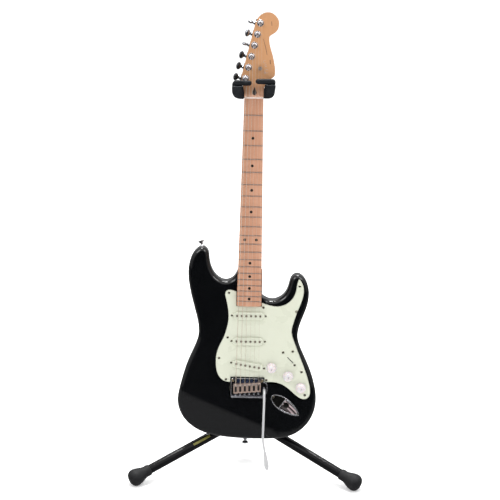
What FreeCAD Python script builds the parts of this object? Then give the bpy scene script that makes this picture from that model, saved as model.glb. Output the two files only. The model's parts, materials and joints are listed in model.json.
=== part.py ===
import FreeCAD, Part
import math
import os
import re

import Sketcher
from FreeCAD import Placement, Rotation, Vector

# Solid-body electric guitar hanging on a folding three-legged stand.
# Millimetres. Row frame: +Z up, front towards -Y, origin under the middle of the object at floor level.
# Mast frame: the row frame leant back about the hub, z up along the mast, y backwards.
# Guitar frame: parallel to the mast frame, origin where the nut crosses the body's front face,
# x to the treble side, y backwards. Positions along the string are given as a distance below the nut.

SIZES = {
    # stand
    "stand_lean": 9.0, "hub_height": 107.2, "foot_circle": 279.4, "leg_slope": 17.0,
    "leg_tube_radius": 9.0, "leg_pivot_radius": 26.0, "leg_pin_radius": 3.0, "tongue_width": 12.0,
    "tongue_height": 16.0, "ear_thickness": 6.0, "hub_core_radius": 14.5, "hub_core_height": 34.0,
    "foot_radius": 22.0, "foot_length": 54.0,
    "mast_radius": 14.0, "tube_wall": 1.5, "main_tube_top": 262.0, "shaft_bottom": 12.0,
    "slide_clearance": 0.05, "part_gap": 0.3, "running_clearance": 0.05,
    "clutch_radius": 22.0, "clutch_height": 56.0, "lever_length": 62.0, "lever_pin_radius": 2.5,
    "backrest_height": 96.0, "backrest_half_width": 96.0, "backrest_bar_radius": 6.0,
    "pad_radius": 12.0, "pad_length": 44.0,
    "yoke_arm_height": 22.0, "yoke_width": 97.0, "cradle_depth": 56.0,
    "cradle_front": 11.2, "left_gate_level": 27.8, "right_gate_level": 31.8, "gate_side": 39.5,
    "guide_width": 12.0, "guide_depth": 9.0, "gate_height": 11.5, "gate_depth": 13.0, "gate_pin_radius": 2.5,
    # guitar, overall
    "nut_height": 757.7, "mast_gap": 105.0, "scale_length": 648.0, "body_width": 320.0, "body_length": 397.0,
    "body_thickness": 44.5, "body_round": 9.5, "belly_radius": 150.0,
    "forearm_angle": 25.2, "forearm_slope": 10.0, "board_rise": 9.2, "fret_count": 21,
    # neck
    "nut_width": 42.0, "heel_width": 56.0, "heel_depth": 15.9, "neck_thickness": 21.0, "heel_end": 467.0,
    "heel_length": 78.0, "head_face": 0.5, "head_thickness": 14.5, "nut_thickness": 3.5, "nut_top": 2.2,
    "fret_radius": 1.2, "dot_radius": 3.2, "dot_depth": 1.5, "rod_radius": 3.0,
    # tuners
    "tuner_pitch": 24.8, "tuner_angle": 14.0, "first_tuner_side": -19.4, "first_tuner_up": 43.6,
    "bushing_radius": 5.2, "post_radius": 3.0, "post_top": 10.5, "key_radius": 1.9, "key_reach": 21.0,
    "key_depth": 6.5, "key_offset": 2.0,
    # front hardware
    "guard_thickness": 2.2, "screw_radius": 1.4, "screw_head_radius": 2.9, "cover_length": 70.0,
    "cover_width": 18.0, "cover_rise": 5.0, "cover_wall": 1.2, "pole_radius": 2.4, "pole_pitch": 10.5,
    "neck_pickup": 490.0, "middle_pickup": 549.5, "bridge_pickup": 606.5, "bridge_pickup_tilt": 9.0,
    "knob_radius": 12.0, "knob_height": 13.0, "pot_radius": 12.0, "shaft_radius": 3.0,
    "plate_left": -37.0, "plate_right": 37.5, "plate_top": 636.0, "plate_bottom": 680.0,
    "plate_float": 3.5, "plate_thickness": 2.5, "saddle_width": 10.2, "saddle_length": 21.0,
    "saddle_height": 8.5, "block_depth": 34.0, "pivot_line": 640.0, "arm_radius": 2.6,
    "arm_tip_radius": 4.8, "jack_radius": 3.2, "jack_length": 26.0, "jack_plate_thickness": 1.5,
    "back_plate_thickness": 1.5, "button_radius": 7.0, "button_height": 12.0,
}

DOC = FreeCAD.newDocument("GuitarOnStand")
SHEET = DOC.addObject("Spreadsheet::Sheet", "Sizes")
for row, (alias, value) in enumerate(SIZES.items(), start=1):
    SHEET.set("A%d" % row, alias)
    SHEET.set("B%d" % row, str(value))
    SHEET.setAlias("B%d" % row, alias)
DOC.recompute()


class Named:
    """Values of the sheet by name."""


size = Named()
for alias in SIZES:
    setattr(size, alias, float(SHEET.get(alias)))

NODES = []
RIGHT = Vector(1, 0, 0)
BACK = Vector(0, 1, 0)
UP = Vector(0, 0, 1)
FRONT = Vector(0, -1, 0)
ALIAS_WORD = re.compile(r"\b([a-z]\w+)\b")

# ---------------------------------------------------------------- frames

lean = math.radians(size.stand_lean)
slope = math.radians(size.leg_slope)


def foot_reach(azimuth):
    """How far a foot reaches past the foot circle towards the back or front, for its leg's azimuth."""
    turn = math.radians(azimuth)
    half_long = size.foot_length / 2 * math.cos(slope) * math.sin(turn)
    half_wide = size.foot_radius * math.cos(turn)
    half_high = size.foot_radius * math.sin(slope) * math.sin(turn)
    return math.sqrt(half_long ** 2 + half_wide ** 2 + half_high ** 2)


rear_reach = size.foot_circle + foot_reach(90)
front_reach = size.foot_circle / 2 + foot_reach(210)
HUB = Vector(0, (front_reach - rear_reach) / 2, size.hub_height)
MAST = Placement(HUB, Rotation(RIGHT, -size.stand_lean))
face_front = -(size.mast_gap - size.board_rise)
GUITAR = MAST.multiply(Placement(Vector(0, face_front, size.nut_height), Rotation()))
UPRIGHT = Placement(HUB, Rotation())
LEG_AZIMUTHS = {"left": 210.0, "right": 330.0, "rear": 90.0}


def leg_frame(azimuth):
    """Frame of one leg: x out along the leg from the hub centre, y level, z upwards."""
    turn = Rotation(UP, azimuth).multiply(Rotation(BACK, size.leg_slope))
    return Placement(HUB, turn)


# ---------------------------------------------------------------- making objects

def bind(item, **properties):
    """Tie properties to the sheet. An expression names its cells by their aliases."""
    for name, text in properties.items():
        item.setExpression(name, ALIAS_WORD.sub(r"Sizes.\1", text))
    return item


def frame_at(start, direction, twist=0.0):
    """Placement whose z runs along direction from start, turned about itself by twist degrees."""
    turn = Rotation(UP, direction).multiply(Rotation(UP, twist))
    return Placement(start, turn)


def rod(radius, height, start, direction=UP):
    """Round bar from start along direction."""
    item = DOC.addObject("Part::Cylinder", "Rod")
    bind(item, Radius=radius, Height=height)
    item.Placement = frame_at(start, direction)
    return item


def block(length, width, height, corner, turn=None):
    """Box with its low corner at corner, turned about that corner when a rotation is given."""
    item = DOC.addObject("Part::Box", "Block")
    bind(item, Length=length, Width=width, Height=height)
    item.Placement = Placement(corner, turn or Rotation())
    return item


def taper(radius_start, radius_end, height, start, direction=UP):
    """Round bar whose radius changes evenly."""
    item = DOC.addObject("Part::Cone", "Taper")
    bind(item, Radius1=radius_start, Radius2=radius_end, Height=height)
    item.Placement = frame_at(start, direction)
    return item


def ellipsoid(half_up, half_long, half_wide, centre, direction=UP, twist=0.0):
    """Ellipsoid: half_up along direction, half_long and half_wide across it."""
    item = DOC.addObject("Part::Ellipsoid", "Ellipsoid")
    bind(item, Radius1=half_up, Radius2=half_long, Radius3=half_wide)
    item.Placement = frame_at(centre, direction, twist)
    return item


def bent_bar(radius, points):
    """Round bar along straight runs with mitred corners."""
    path = DOC.addObject("Part::Polygon", "Path")
    path.Nodes = points
    ring = DOC.addObject("Part::Circle", "Ring")
    bind(ring, Radius=radius)
    ring.Placement = frame_at(points[0], points[1] - points[0])
    item = DOC.addObject("Part::Sweep", "Bar")
    item.Sections = [ring]
    item.Spine = (path, [])
    item.Solid = True
    item.Transition = "Right corner"
    return item


def fuse(items):
    """One solid from several that touch or overlap."""
    item = DOC.addObject("Part::MultiFuse", "Fused")
    item.Shapes = items
    item.Refine = True
    return item


def cut(base, tools):
    """Base with every tool taken away."""
    item = DOC.addObject("Part::Cut", "Cut")
    item.Base = base
    item.Tool = tools[0] if len(tools) == 1 else group(tools)
    return item


def group(items):
    """Several separate solids kept together."""
    item = DOC.addObject("Part::Compound", "Group")
    item.Links = items
    return item


def node(label, item, place):
    """Name a finished sub-part and put it where it belongs."""
    item.Label = label
    item.Placement = place.multiply(item.Placement)
    NODES.append(item)
    return item


def new_body():
    return DOC.addObject("PartDesign::Body", "Body")


def sketch_on(body, role, offset="0"):
    """Sketch on one of the body's own origin planes, moved along the plane's normal by offset."""
    item = body.newObject("Sketcher::SketchObject", "Sketch")
    plane = [feature for feature in body.Origin.OriginFeatures if feature.Role == role][0]
    item.AttachmentSupport = (plane, [""])
    item.MapMode = "FlatFace"
    item.setExpression("AttachmentOffset.Base.z", ALIAS_WORD.sub(r"Sizes.\1", offset))
    return item


def spline(points):
    """Smooth curve through points."""
    curve = Part.BSplineCurve()
    curve.interpolate([Vector(x, y, 0) for x, y in points])
    return curve


def draw(sketch, runs):
    """Draw runs of points end to end: two points make a line, more make a smooth curve."""
    for points in runs:
        if len(points) == 2:
            ends = [Vector(x, y, 0) for x, y in points]
            sketch.addGeometry(Part.LineSegment(*ends))
        else:
            sketch.addGeometry(spline(points))


def draw_loop(sketch, points):
    """Closed polygon."""
    following = points[1:] + points[:1]
    draw(sketch, [[start, end] for start, end in zip(points, following)])


def pad(body, sketch, length, reverse=False):
    """Thicken a sketch along its normal, or against it."""
    item = body.newObject("PartDesign::Pad", "Pad")
    item.Profile = sketch
    item.Reversed = reverse
    bind(item, Length=length)
    body.Tip = item
    return item


def plate(runs, role, length, offset="0", reverse=False):
    """Body made by padding one outline."""
    body = new_body()
    sketch = sketch_on(body, role, offset)
    draw(sketch, runs)
    pad(body, sketch, length, reverse)
    return body


def along_neck(x, depth, below):
    """Point of the guitar frame: side, depth behind the body's front face, distance below the nut."""
    return Vector(x, depth, -below)


# ---------------------------------------------------------------- stand

pivot_out = size.leg_pivot_radius * math.cos(slope)
pivot_drop = size.leg_pivot_radius * math.sin(slope)
ear_span = size.tongue_width + 2 * size.part_gap + 2 * size.ear_thickness


def make_leg_hub():
    """Centre casting: core, sloped socket for the mast and a slotted pair of ears for each leg."""
    core = rod("hub_core_radius", "hub_core_height", Vector(0, 0, -0.62 * size.hub_core_height))
    collar = rod("mast_radius + 4", "34", Vector(0, 0, 0), MAST.Rotation.multVec(UP))
    solids = [core, collar]
    slots = [rod("mast_radius", "60", MAST.Rotation.multVec(Vector(0, 0, 4)), MAST.Rotation.multVec(UP))]
    for azimuth in LEG_AZIMUTHS.values():
        turn = Rotation(UP, azimuth)
        low = -pivot_drop - 0.5 * size.tongue_height - 1
        ears = block("leg_pivot_radius + 8", "tongue_width + 2 * part_gap + 2 * ear_thickness",
                     "tongue_height + 5", turn.multVec(Vector(0, -ear_span / 2, low)), turn)
        slot_half = size.tongue_width / 2 + size.part_gap
        start = size.hub_core_radius + 1
        slots.append(block("60", "tongue_width + 2 * part_gap", "tongue_height + 2.6",
                           turn.multVec(Vector(start, -slot_half, low - 1)), turn))
        pin_start = turn.multVec(Vector(pivot_out, -ear_span / 2 - 1, -pivot_drop))
        slots.append(rod("leg_pin_radius", "tongue_width + 20", pin_start, turn.multVec(BACK)))
        solids.append(ears)
    node("leg_hub", cut(fuse(solids), slots), UPRIGHT)


def make_stand_bolts():
    """Pivot bolts of the three legs, with a head and a nut outside the ears."""
    bolts = []
    for azimuth in LEG_AZIMUTHS.values():
        turn = Rotation(UP, azimuth)
        side = turn.multVec(BACK)
        middle = turn.multVec(Vector(pivot_out, 0, -pivot_drop))
        shank = rod("leg_pin_radius", "tongue_width + 2 * part_gap + 2 * ear_thickness",
                    middle - side * (ear_span / 2), side)
        head = rod("5.5", "3.5", middle + side * (ear_span / 2), side)
        nut = rod("5.5", "4", middle - side * (ear_span / 2 + 4), side)
        bolts.append(fuse([shank, head, nut]))
    node("stand_bolts", group(bolts), UPRIGHT)


def leg_out():
    """Distance from hub centre to the middle of the foot, along the leg."""
    return size.foot_circle / math.cos(slope)


def make_leg(name, azimuth):
    """Tube leg with a flat tongue that turns between the hub's ears, and its rubber foot."""
    start = size.leg_pivot_radius
    tongue_end = start + 15
    flat = block("15", "tongue_width", "tongue_height",
                 Vector(start, -size.tongue_width / 2, -size.tongue_height / 2))
    eye = rod("tongue_height / 2", "tongue_width", Vector(start, -size.tongue_width / 2, 0), BACK)
    tube = rod("leg_tube_radius", "foot_circle - 50", Vector(tongue_end - 2, 0, 0), RIGHT)
    bore = rod("leg_pin_radius + running_clearance", "40", Vector(start, -20, 0), BACK)
    hollow = rod("leg_tube_radius - tube_wall", "foot_circle", Vector(tongue_end + 6, 0, 0), RIGHT)
    frame = leg_frame(azimuth)
    node("leg_" + name, cut(fuse([flat, eye, tube]), [bore, hollow]), frame)

    centre = Vector(leg_out(), 0, 0)
    sleeve = rod("leg_tube_radius + 3.2", "22", centre - RIGHT * 38, RIGHT)
    bulb = ellipsoid("foot_length / 2", "foot_radius", "foot_radius", centre, RIGHT)
    inside = rod("leg_tube_radius", "foot_circle - 50", Vector(tongue_end - 2, 0, 0), RIGHT)
    floor_turn = Rotation(BACK, -size.leg_slope)
    below = -size.hub_height - 80
    below_floor = block("200", "100", "80", floor_turn.multVec(Vector(leg_out() - 120, -50, below)), floor_turn)
    node("foot_" + name, cut(fuse([sleeve, bulb]), [inside, below_floor]), frame)


def make_mast():
    """Lower tube fixed in the hub, and the upper shaft that slides in it."""
    outer = rod("mast_radius", "main_tube_top - 4", Vector(0, 0, 4))
    inner = rod("mast_radius - tube_wall", "main_tube_top", Vector(0, 0, 3))
    node("main_tube", cut(outer, [inner]), MAST)
    shaft = rod("mast_radius - tube_wall - slide_clearance",
                "nut_height - yoke_arm_height + 6.6 - shaft_bottom", Vector(0, 0, size.shaft_bottom))
    hollow = rod("mast_radius - 2 * tube_wall", "nut_height", Vector(0, 0, size.shaft_bottom - 1))
    node("upper_shaft", cut(shaft, [hollow]), MAST)


def make_clutch():
    """Height clutch on top of the lower tube, with a squeeze lever behind it."""
    low = size.main_tube_top - 26
    shell = rod("clutch_radius", "clutch_height", Vector(0, 0, low))
    ears = block("22", "26", "16", Vector(-11, 8, low + size.clutch_height - 22))
    tube_hole = rod("mast_radius", "26", Vector(0, 0, low))
    shaft_hole = rod("mast_radius - tube_wall + slide_clearance + 0.3", "clutch_height", Vector(0, 0, low))
    slot = block("10.6", "40", "60", Vector(-5.3, size.clutch_radius + 0.5, low + 6))
    pin_z = low + size.clutch_height - 14
    pin_hole = rod("lever_pin_radius + running_clearance", "40", Vector(-20, 28.5, pin_z), RIGHT)
    node("clutch_housing", cut(fuse([shell, ears]), [tube_hole, shaft_hole, slot, pin_hole]), MAST)
    eye = rod("5", "10", Vector(-5, 28.5, pin_z), RIGHT)
    paddle = block("10", "5", "lever_length", Vector(-5, 28.5, pin_z - size.lever_length))
    grip = block("26", "5", "lever_length - 26", Vector(-13, 29.5, pin_z - size.lever_length))
    pin = rod("lever_pin_radius", "22", Vector(-11, 28.5, pin_z), RIGHT)
    node("clutch_lever", fuse([eye, paddle, grip, pin]), MAST)


def pad_centre_depth():
    """Depth of the backrest bar: its pads just clear the back of the guitar."""
    return face_front + size.body_thickness + size.part_gap + size.pad_radius


def make_backrest():
    """Clamp on the lower tube with a forward arm and a cross bar, and a soft pad on each end."""
    level = size.backrest_height
    depth = pad_centre_depth()
    clamp = rod("mast_radius + 5", "26", Vector(0, 0, level - 13))
    arm = block("16", "40", "14", Vector(-8, depth, level - 7))
    bar = rod("backrest_bar_radius", "2 * backrest_half_width", Vector(-size.backrest_half_width, depth, level),
              RIGHT)
    hole = rod("mast_radius", "40", Vector(0, 0, level - 20))
    node("backrest_bar", cut(fuse([clamp, arm, bar]), [hole]), MAST)
    pads = []
    for side in (-1, 1):
        outer_end = side * (size.backrest_half_width + 6)
        length = "pad_length + 6"
        start = min(outer_end, outer_end - side * (size.pad_length + 6))
        sleeve = rod("pad_radius", length, Vector(start, depth, level), RIGHT)
        core = rod("backrest_bar_radius", "2 * backrest_half_width",
                   Vector(-size.backrest_half_width, depth, level), RIGHT)
        pads.append(cut(sleeve, [core]))
    node("backrest_pads", group(pads), MAST)


bridge_start = size.cradle_depth - size.cradle_front - 14
CRADLE = MAST.multiply(Placement(Vector(0, face_front, size.nut_height), Rotation()))


def make_yoke_housing():
    """Casting on top of the shaft: a block, an arm towards the front and a guide post for the cradle."""
    low = size.nut_height - 1 - size.part_gap - size.yoke_arm_height
    tower = rod("mast_radius + 4", "yoke_arm_height + 10", Vector(0, 0, low - 10))
    post_front = face_front + bridge_start + 2.2 + size.part_gap
    reach = -post_front + 3
    arm = block("34", "%.2f" % reach, "yoke_arm_height", Vector(-17, -reach, low))
    hole = rod("mast_radius - tube_wall - slide_clearance", "18", Vector(0, 0, low - 10))
    post = block("guide_width", "guide_depth", "yoke_arm_height + 44",
                 Vector(-size.guide_width / 2, post_front, low))
    node("yoke_housing", cut(fuse([tower, arm, post]), [hole]), MAST)


# Inner edges of the cradle's arms follow the flare of the headstock.
LEFT_ARM = [(-21.9, -1.0), (-48.5, -1.0), (-48.5, 38.0), (-29.6, 38.0), (-27.0, 27.0), (-23.4, 14.0)]
RIGHT_ARM = [(21.9, 2.0), (44.0, 2.0), (47.5, 12.0), (47.5, 43.5), (37.8, 43.5), (30.2, 35.8), (24.5, 26.7),
             (21.9, 15.0)]


def make_cradle():
    """U-shaped cradle: two arms beside the neck and a bridge behind it that slides on the housing's key."""
    arms = []
    for points in (LEFT_ARM, RIGHT_ARM):
        body = new_body()
        sketch = sketch_on(body, "XZ_Plane", "cradle_front")
        draw_loop(sketch, points)
        pad(body, sketch, "cradle_depth", reverse=True)
        arms.append(body)
    ledge_front = -size.cradle_front - size.gate_depth - 2.0
    ledges = [block("26.6", "gate_depth + 2.5", "left_gate_level - part_gap + 1",
                    Vector(-48.5, ledge_front, -1)),
              block("25.6", "gate_depth + 2.5", "right_gate_level - part_gap - 5",
                    Vector(21.9, ledge_front, 5))]
    pins = []
    for side in (-1, 1):
        start = Vector(side * size.gate_side, gate_middle(), gate_level(side) - 6)
        pins.append(rod("gate_pin_radius", "gate_height + 7", start))
    bridge = block("yoke_width - 2", "14", "24", Vector(-48.5, bridge_start, -1))
    slot = block("guide_width + 2 * part_gap", "guide_depth + 2 * part_gap", "90",
                 Vector(-size.guide_width / 2 - size.part_gap, bridge_start + 2.2, -30))
    node("yoke_cradle", cut(fuse(arms + ledges + pins + [bridge]), [slot]), CRADLE)


def gate_level(side):
    """Underside of a gate above the nut line: the right one sits a little higher."""
    return size.left_gate_level if side < 0 else size.right_gate_level


def gate_middle():
    """Depth of the gates' pivots."""
    return -size.cradle_front - size.gate_depth / 2 - size.part_gap


def make_gate(name, side):
    """Finger that closes in front of the headstock and swings out when the cradle rises."""
    level = gate_level(side)
    x = side * size.gate_side
    depth = gate_middle()
    hub = rod("gate_depth / 2", "gate_height", Vector(x, depth, level))
    length = size.gate_side - (11.0 if side < 0 else 9.0)
    corner = Vector(min(x, x - side * length), depth - size.gate_depth / 2, level)
    bar = block("%.1f" % length, "gate_depth", "gate_height", corner)
    tip = rod("gate_height / 2", "gate_depth", Vector(x - side * length, depth - size.gate_depth / 2,
                                                      level + size.gate_height / 2), BACK)
    hole = rod("gate_pin_radius + running_clearance", "40", Vector(x, depth, level - 10))
    node("gate_" + name, cut(fuse([hub, bar, tip]), [hole]), CRADLE)


def make_stand():
    make_leg_hub()
    make_stand_bolts()
    for name, azimuth in LEG_AZIMUTHS.items():
        make_leg(name, azimuth)
    make_mast()
    make_clutch()
    make_backrest()
    make_yoke_housing()
    make_cradle()
    make_gate("left", -1)
    make_gate("right", 1)


# ---------------------------------------------------------------- guitar body

# Outline corners and curve points as (side, distance below the nut), drawn for a body 320 wide.
BODY_OUTLINE = [
    [(-27.5, 389), (29.0, 389)],
    [(29.0, 389), (29.0, 447)],
    [(29.0, 447), (51, 454.5), (78, 443), (90.5, 416), (96.5, 400), (108, 393.5), (120.5, 398.5), (129.5, 410),
     (136.3, 437), (128.8, 479), (113.3, 536), (132.3, 592), (154.3, 649), (159.8, 692), (147.8, 735),
     (113, 770), (60, 783.5), (-2, 786), (-62, 783), (-113, 769), (-147, 739), (-160.2, 699), (-153.7, 656),
     (-135.7, 598), (-114, 535), (-121.7, 485), (-135.7, 429), (-139.5, 390), (-134, 360), (-122.5, 342),
     (-108, 335), (-96.5, 342.5), (-92.5, 360), (-86, 386), (-69, 407), (-52, 411.5), (-37, 404), (-27.5, 389)],
]
GUARD_OUTLINE = [
    [(-28.5, 434.5), (-40, 431), (-49, 431.5), (-54, 437), (-53, 450), (-48.5, 470), (-46, 495),
     (-49, 517), (-56, 540), (-66, 562), (-72.5, 585), (-73, 605), (-67, 630), (-55, 643), (-38.6, 647)],
    [(-38.6, 647), (-38.6, 634)],
    [(-38.6, 634), (39.1, 634)],
    [(39.1, 634), (39.1, 645.5)],
    [(39.1, 645.5), (62, 645), (82, 651), (100, 664), (118, 679), (132, 683.5), (142, 678), (145, 664),
     (142, 645), (131, 612), (118, 580), (104, 545), (99, 527), (102, 507), (111, 478), (121, 450),
     (124, 430), (119, 411), (112.5, 403.5), (109, 411), (106, 430), (97, 450), (82, 462.5), (64, 467),
     (44, 464), (28.8, 459)],
    [(28.8, 459), (28.8, 467.6)],
    [(28.8, 467.6), (-28.5, 467.6)],
    [(-28.5, 467.6), (-28.5, 434.5)],
]
GUARD_SCREWS = [(-46, 437.5), (-47, 541), (-66, 590), (-49, 640), (33, 470), (114, 419), (108, 478),
                (102.5, 571), (124, 619), (133, 673.5), (43.5, 640)]
SWITCH_SCREWS = [(80.5, 574), (107.5, 603)]
SWITCH_SLOT = ((90.5, 585), (104.5, 598.5))
KNOB_PLACES = {"volume_knob": (54.5, 611), "tone_knob_1": (93.3, 630), "tone_knob_2": (123.0, 657)}
JACK_CENTRE = (88.6, 700.0)
JACK_TILT = 35.0
JACK_CUP = 3.0
STRAP_BUTTONS = [((-108.8, 335.0), (-0.3, 0.95)), ((-1.5, 785.8), (0.0, -1.0))]
BACK_SCREWS = [(-38, 578), (38, 578), (-38, 640), (38, 640), (-38, 706), (38, 706)]
NECK_SCREWS = [(-19, 402), (19, 402), (-19, 440), (19, 440)]

across = size.body_width / 320.0
along = size.body_length / 397.0


def body_point(x, s):
    """Outline point stretched with the body's width and length, about the neck joint."""
    return x * across, 389 + (s - 389) * along


def body_corner(x, depth, s):
    x, s = body_point(x, s)
    return along_neck(x, depth, s)


def body_runs(runs):
    return [[(body_point(x, s)[0], -body_point(x, s)[1]) for x, s in points] for points in runs]


def rim_edges(feature, depth_low, depth_high):
    """Curved edges of the outer rim that lie between two depths and are not part of the neck joint."""
    names = []
    for number, edge in enumerate(feature.Shape.Edges, start=1):
        box = edge.BoundBox
        if box.YMin > depth_low and box.YMax < depth_high and box.XLength > 100:
            names.append("Edge%d" % number)
    return names


def forearm_cutter():
    """Large box whose face slopes into the wood below a slanting line across the lower bass side."""
    turn = Rotation(BACK, size.forearm_angle).multiply(Rotation(RIGHT, size.forearm_slope))
    corner = body_corner(-158, 0, 664) + turn.multVec(Vector(-100, -60, -200))
    return block("420", "60", "200", corner, turn)


def pickup_places():
    """Middle of each pickup: distance below the nut and tilt."""
    return [(size.neck_pickup, 0.0), (size.middle_pickup, 0.0), (size.bridge_pickup, size.bridge_pickup_tilt)]


def pocket_box(x_low, x_high, s_low, s_high, depth_low, depth_high):
    """Plain cutting box between two sides, two distances below the nut and two depths."""
    item = DOC.addObject("Part::Box", "Pocket")
    item.Length = x_high - x_low
    item.Width = depth_high - depth_low
    item.Height = s_high - s_low
    item.Placement = Placement(along_neck(x_low, depth_low, s_high), Rotation())
    return item


def make_guitar_body():
    """Wooden body: rounded rims, sloped forearm and belly cuts, neck pocket, routs, spring cavity, jack rout."""
    body = new_body()
    sketch = sketch_on(body, "XZ_Plane")
    draw(sketch, body_runs(BODY_OUTLINE))
    slab = pad(body, sketch, "body_thickness", reverse=True)
    DOC.recompute()
    rounding = body.newObject("PartDesign::Fillet", "Rims")
    rounding.Base = (slab, rim_edges(slab, -1, size.body_thickness + 1))
    bind(rounding, Radius="body_round")
    body.Tip = rounding
    thick = size.body_thickness
    half = size.heel_width / 2 + size.part_gap
    forearm = forearm_cutter()
    scoop_start = body_corner(-12, thick + size.belly_radius + 3, 508)
    belly = rod("belly_radius", "260", scoop_start, Vector(-1.0, -0.19, 0.12).normalize())
    tools = [forearm, belly,
             pocket_box(-half, half, 380, size.heel_end + size.part_gap, -1, size.heel_depth),
             pocket_box(-44, 44, 476, 628, -1, 19),
             pocket_box(36, 86, 590, 640, -1, 36), pocket_box(76, 117, 562, 652, -1, 36),
             pocket_box(108, 136, 640, 672, -1, 36),
             pocket_box(-41, 41, 642, 682, -1, thick + 1),
             pocket_box(-34, 34, 575, 684, thick - 16, thick + 1)]
    jack_x, jack_s = body_point(*JACK_CENTRE)
    jack_turn = Rotation(BACK, JACK_TILT)
    corner = along_neck(jack_x, -1, jack_s) + jack_turn.multVec(Vector(JACK_CUP - 14, 0, -11))
    tools.append(block("28", "37", "22", corner, jack_turn))
    node("guitar_body", cut(body, tools), GUITAR)


# ---------------------------------------------------------------- neck

def half_width(s):
    """Half the width of the neck at a distance below the nut."""
    return (size.nut_width + (size.heel_width - size.nut_width) * s / size.heel_end) / 2


def fret_distance(number):
    return size.scale_length * (1 - 2 ** (-number / 12))


def tuner_places():
    """Post positions, from the one nearest the nut to the tip."""
    turn = math.radians(size.tuner_angle)
    step_x = size.tuner_pitch * math.sin(turn)
    step_up = size.tuner_pitch * math.cos(turn)
    return [(size.first_tuner_side + n * step_x, size.first_tuner_up + n * step_up) for n in range(6)]


DOT_FRETS = (3, 5, 7, 9, 12, 15, 17, 19, 21)
OCTAVE_DOT_SIDE = 13.0
HEAD_OUTLINE = [
    [(-21, 0), (-21.3, -11), (-24, -24), (-27.6, -41), (-28.3, -49)],
    [(-28.3, -49), (-0.7, -162)],
    [(-0.7, -162), (3.3, -172), (10.3, -181), (18.5, -186), (27.3, -187.7), (36, -186), (44.3, -180),
     (50, -172), (51.6, -162), (49.5, -152), (43, -144), (35, -139), (31, -135)],
    [(31, -135), (32.3, -118), (38, -99), (43.3, -78), (45.5, -58), (45, -51)],
    [(45, -51), (41.3, -47), (36, -43), (29, -36), (23.5, -27), (21.3, -16), (21, 0)],
    [(21, 0), (-21, 0)],
]


def section(sketch, half, thickness):
    """D-shaped section: flat playing face in front and a rounded back."""
    top = -size.board_rise
    flat = [(half, top), (-half, top)]
    back = [(-half, top), (-0.98 * half, top + 0.28 * thickness), (-0.72 * half, top + 0.74 * thickness),
            (0, top + thickness), (0.72 * half, top + 0.74 * thickness), (0.98 * half, top + 0.28 * thickness),
            (half, top)]
    draw(sketch, [flat, back])


def neck_section(body, s, thickness):
    sketch = sketch_on(body, "XY_Plane", "%.2f" % -s)
    section(sketch, half_width(s), thickness)
    return sketch


def marker_discs(depth):
    """Position dots at the usual frets, two at the octave."""
    discs = []
    for fret in DOT_FRETS:
        s = (fret_distance(fret - 1) + fret_distance(fret)) / 2
        for x in ((-OCTAVE_DOT_SIDE, OCTAVE_DOT_SIDE) if fret == 12 else (0,)):
            discs.append(rod("dot_radius", depth, along_neck(x, -size.board_rise, s), BACK))
    return discs


def make_neck():
    """Headstock, scooped step behind the nut, rounded shaft and squared heel in one piece."""
    body = new_body()
    head = sketch_on(body, "XZ_Plane", "-head_face")
    draw(head, [[(x, -s) for x, s in points] for points in HEAD_OUTLINE])
    pad(body, head, "head_thickness", reverse=True)
    loft = body.newObject("PartDesign::AdditiveLoft", "Shaft")
    loft.Profile = neck_section(body, 0.0, size.neck_thickness)
    last = size.heel_end - size.heel_length + 6
    loft.Sections = [neck_section(body, last / 2, size.neck_thickness + 0.8),
                     neck_section(body, last, size.neck_thickness + 1.6)]
    loft.Ruled = False
    body.Tip = loft
    heel = sketch_on(body, "XZ_Plane", "board_rise")
    low = size.heel_end - size.heel_length
    end = size.heel_end
    bend = 5.0
    wide = half_width(end)
    runs = [[(-half_width(low), low), (half_width(low), low)],
            [(half_width(low), low), (wide, end - bend)],
            [(wide, end - bend), (wide - 1.4, end - 1.6), (wide - bend, end - 0.6), (0, end),
             (-wide + bend, end - 0.6), (-wide + 1.4, end - 1.6), (-wide, end - bend)],
            [(-wide, end - bend), (-half_width(low), low)]]
    draw(heel, [[(x, -s) for x, s in points] for points in runs])
    pad(body, heel, "board_rise + heel_depth", reverse=True)
    scoop = sketch_on(body, "YZ_Plane", "0 - nut_width / 2")
    face = size.head_face
    draw(scoop, [[(-size.board_rise + 0.8, 3.5), (-5.2, 7.5), (-2.2, 14), (-0.2, 22), (face, 31)],
                 [(face, 31), (face + 6, 31)], [(face + 6, 31), (face + 6, 0)],
                 [(face + 6, 0), (-size.board_rise + 0.8, 0)], [(-size.board_rise + 0.8, 0),
                                                                (-size.board_rise + 0.8, 3.5)]])
    pad(body, scoop, "nut_width")
    slot = block("nut_width + 2", "4.4", "nut_thickness", Vector(-size.nut_width / 2 - 1, -size.board_rise - 1, 0))
    tools = [slot] + marker_discs("dot_depth")
    for x, up in tuner_places():
        tools.append(rod("bushing_radius", "30", Vector(x, -5, up), BACK))
    tools.append(rod("rod_radius", "heel_end - 36", along_neck(0, 1.5, size.heel_end - 20)))
    node("neck", cut(body, tools), GUITAR)


def make_neck_trim():
    """Frets, dots, nut and the rod that stiffens the neck."""
    wires = []
    for number in range(1, int(size.fret_count) + 1):
        s = fret_distance(number)
        half = half_width(s) - 0.3
        wire = DOC.addObject("Part::Cylinder", "Fret")
        bind(wire, Radius="fret_radius")
        wire.Height = 2 * half
        wire.Angle = 180
        wire.Placement = Placement(along_neck(-half, -size.board_rise, s), Rotation(UP, FRONT, RIGHT, "ZXY"))
        wires.append(wire)
    node("frets", group(wires), GUITAR)
    node("fret_markers", group(marker_discs("dot_depth")), GUITAR)
    saddle = block("nut_width", "board_rise - 5.8 + nut_top", "nut_thickness",
                   Vector(-size.nut_width / 2, -size.board_rise - size.nut_top, 0))
    node("nut", saddle, GUITAR)
    bar = rod("rod_radius", "heel_end - 36", along_neck(0, 1.5, size.heel_end - 20))
    node("truss_rod", bar, GUITAR)


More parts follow.
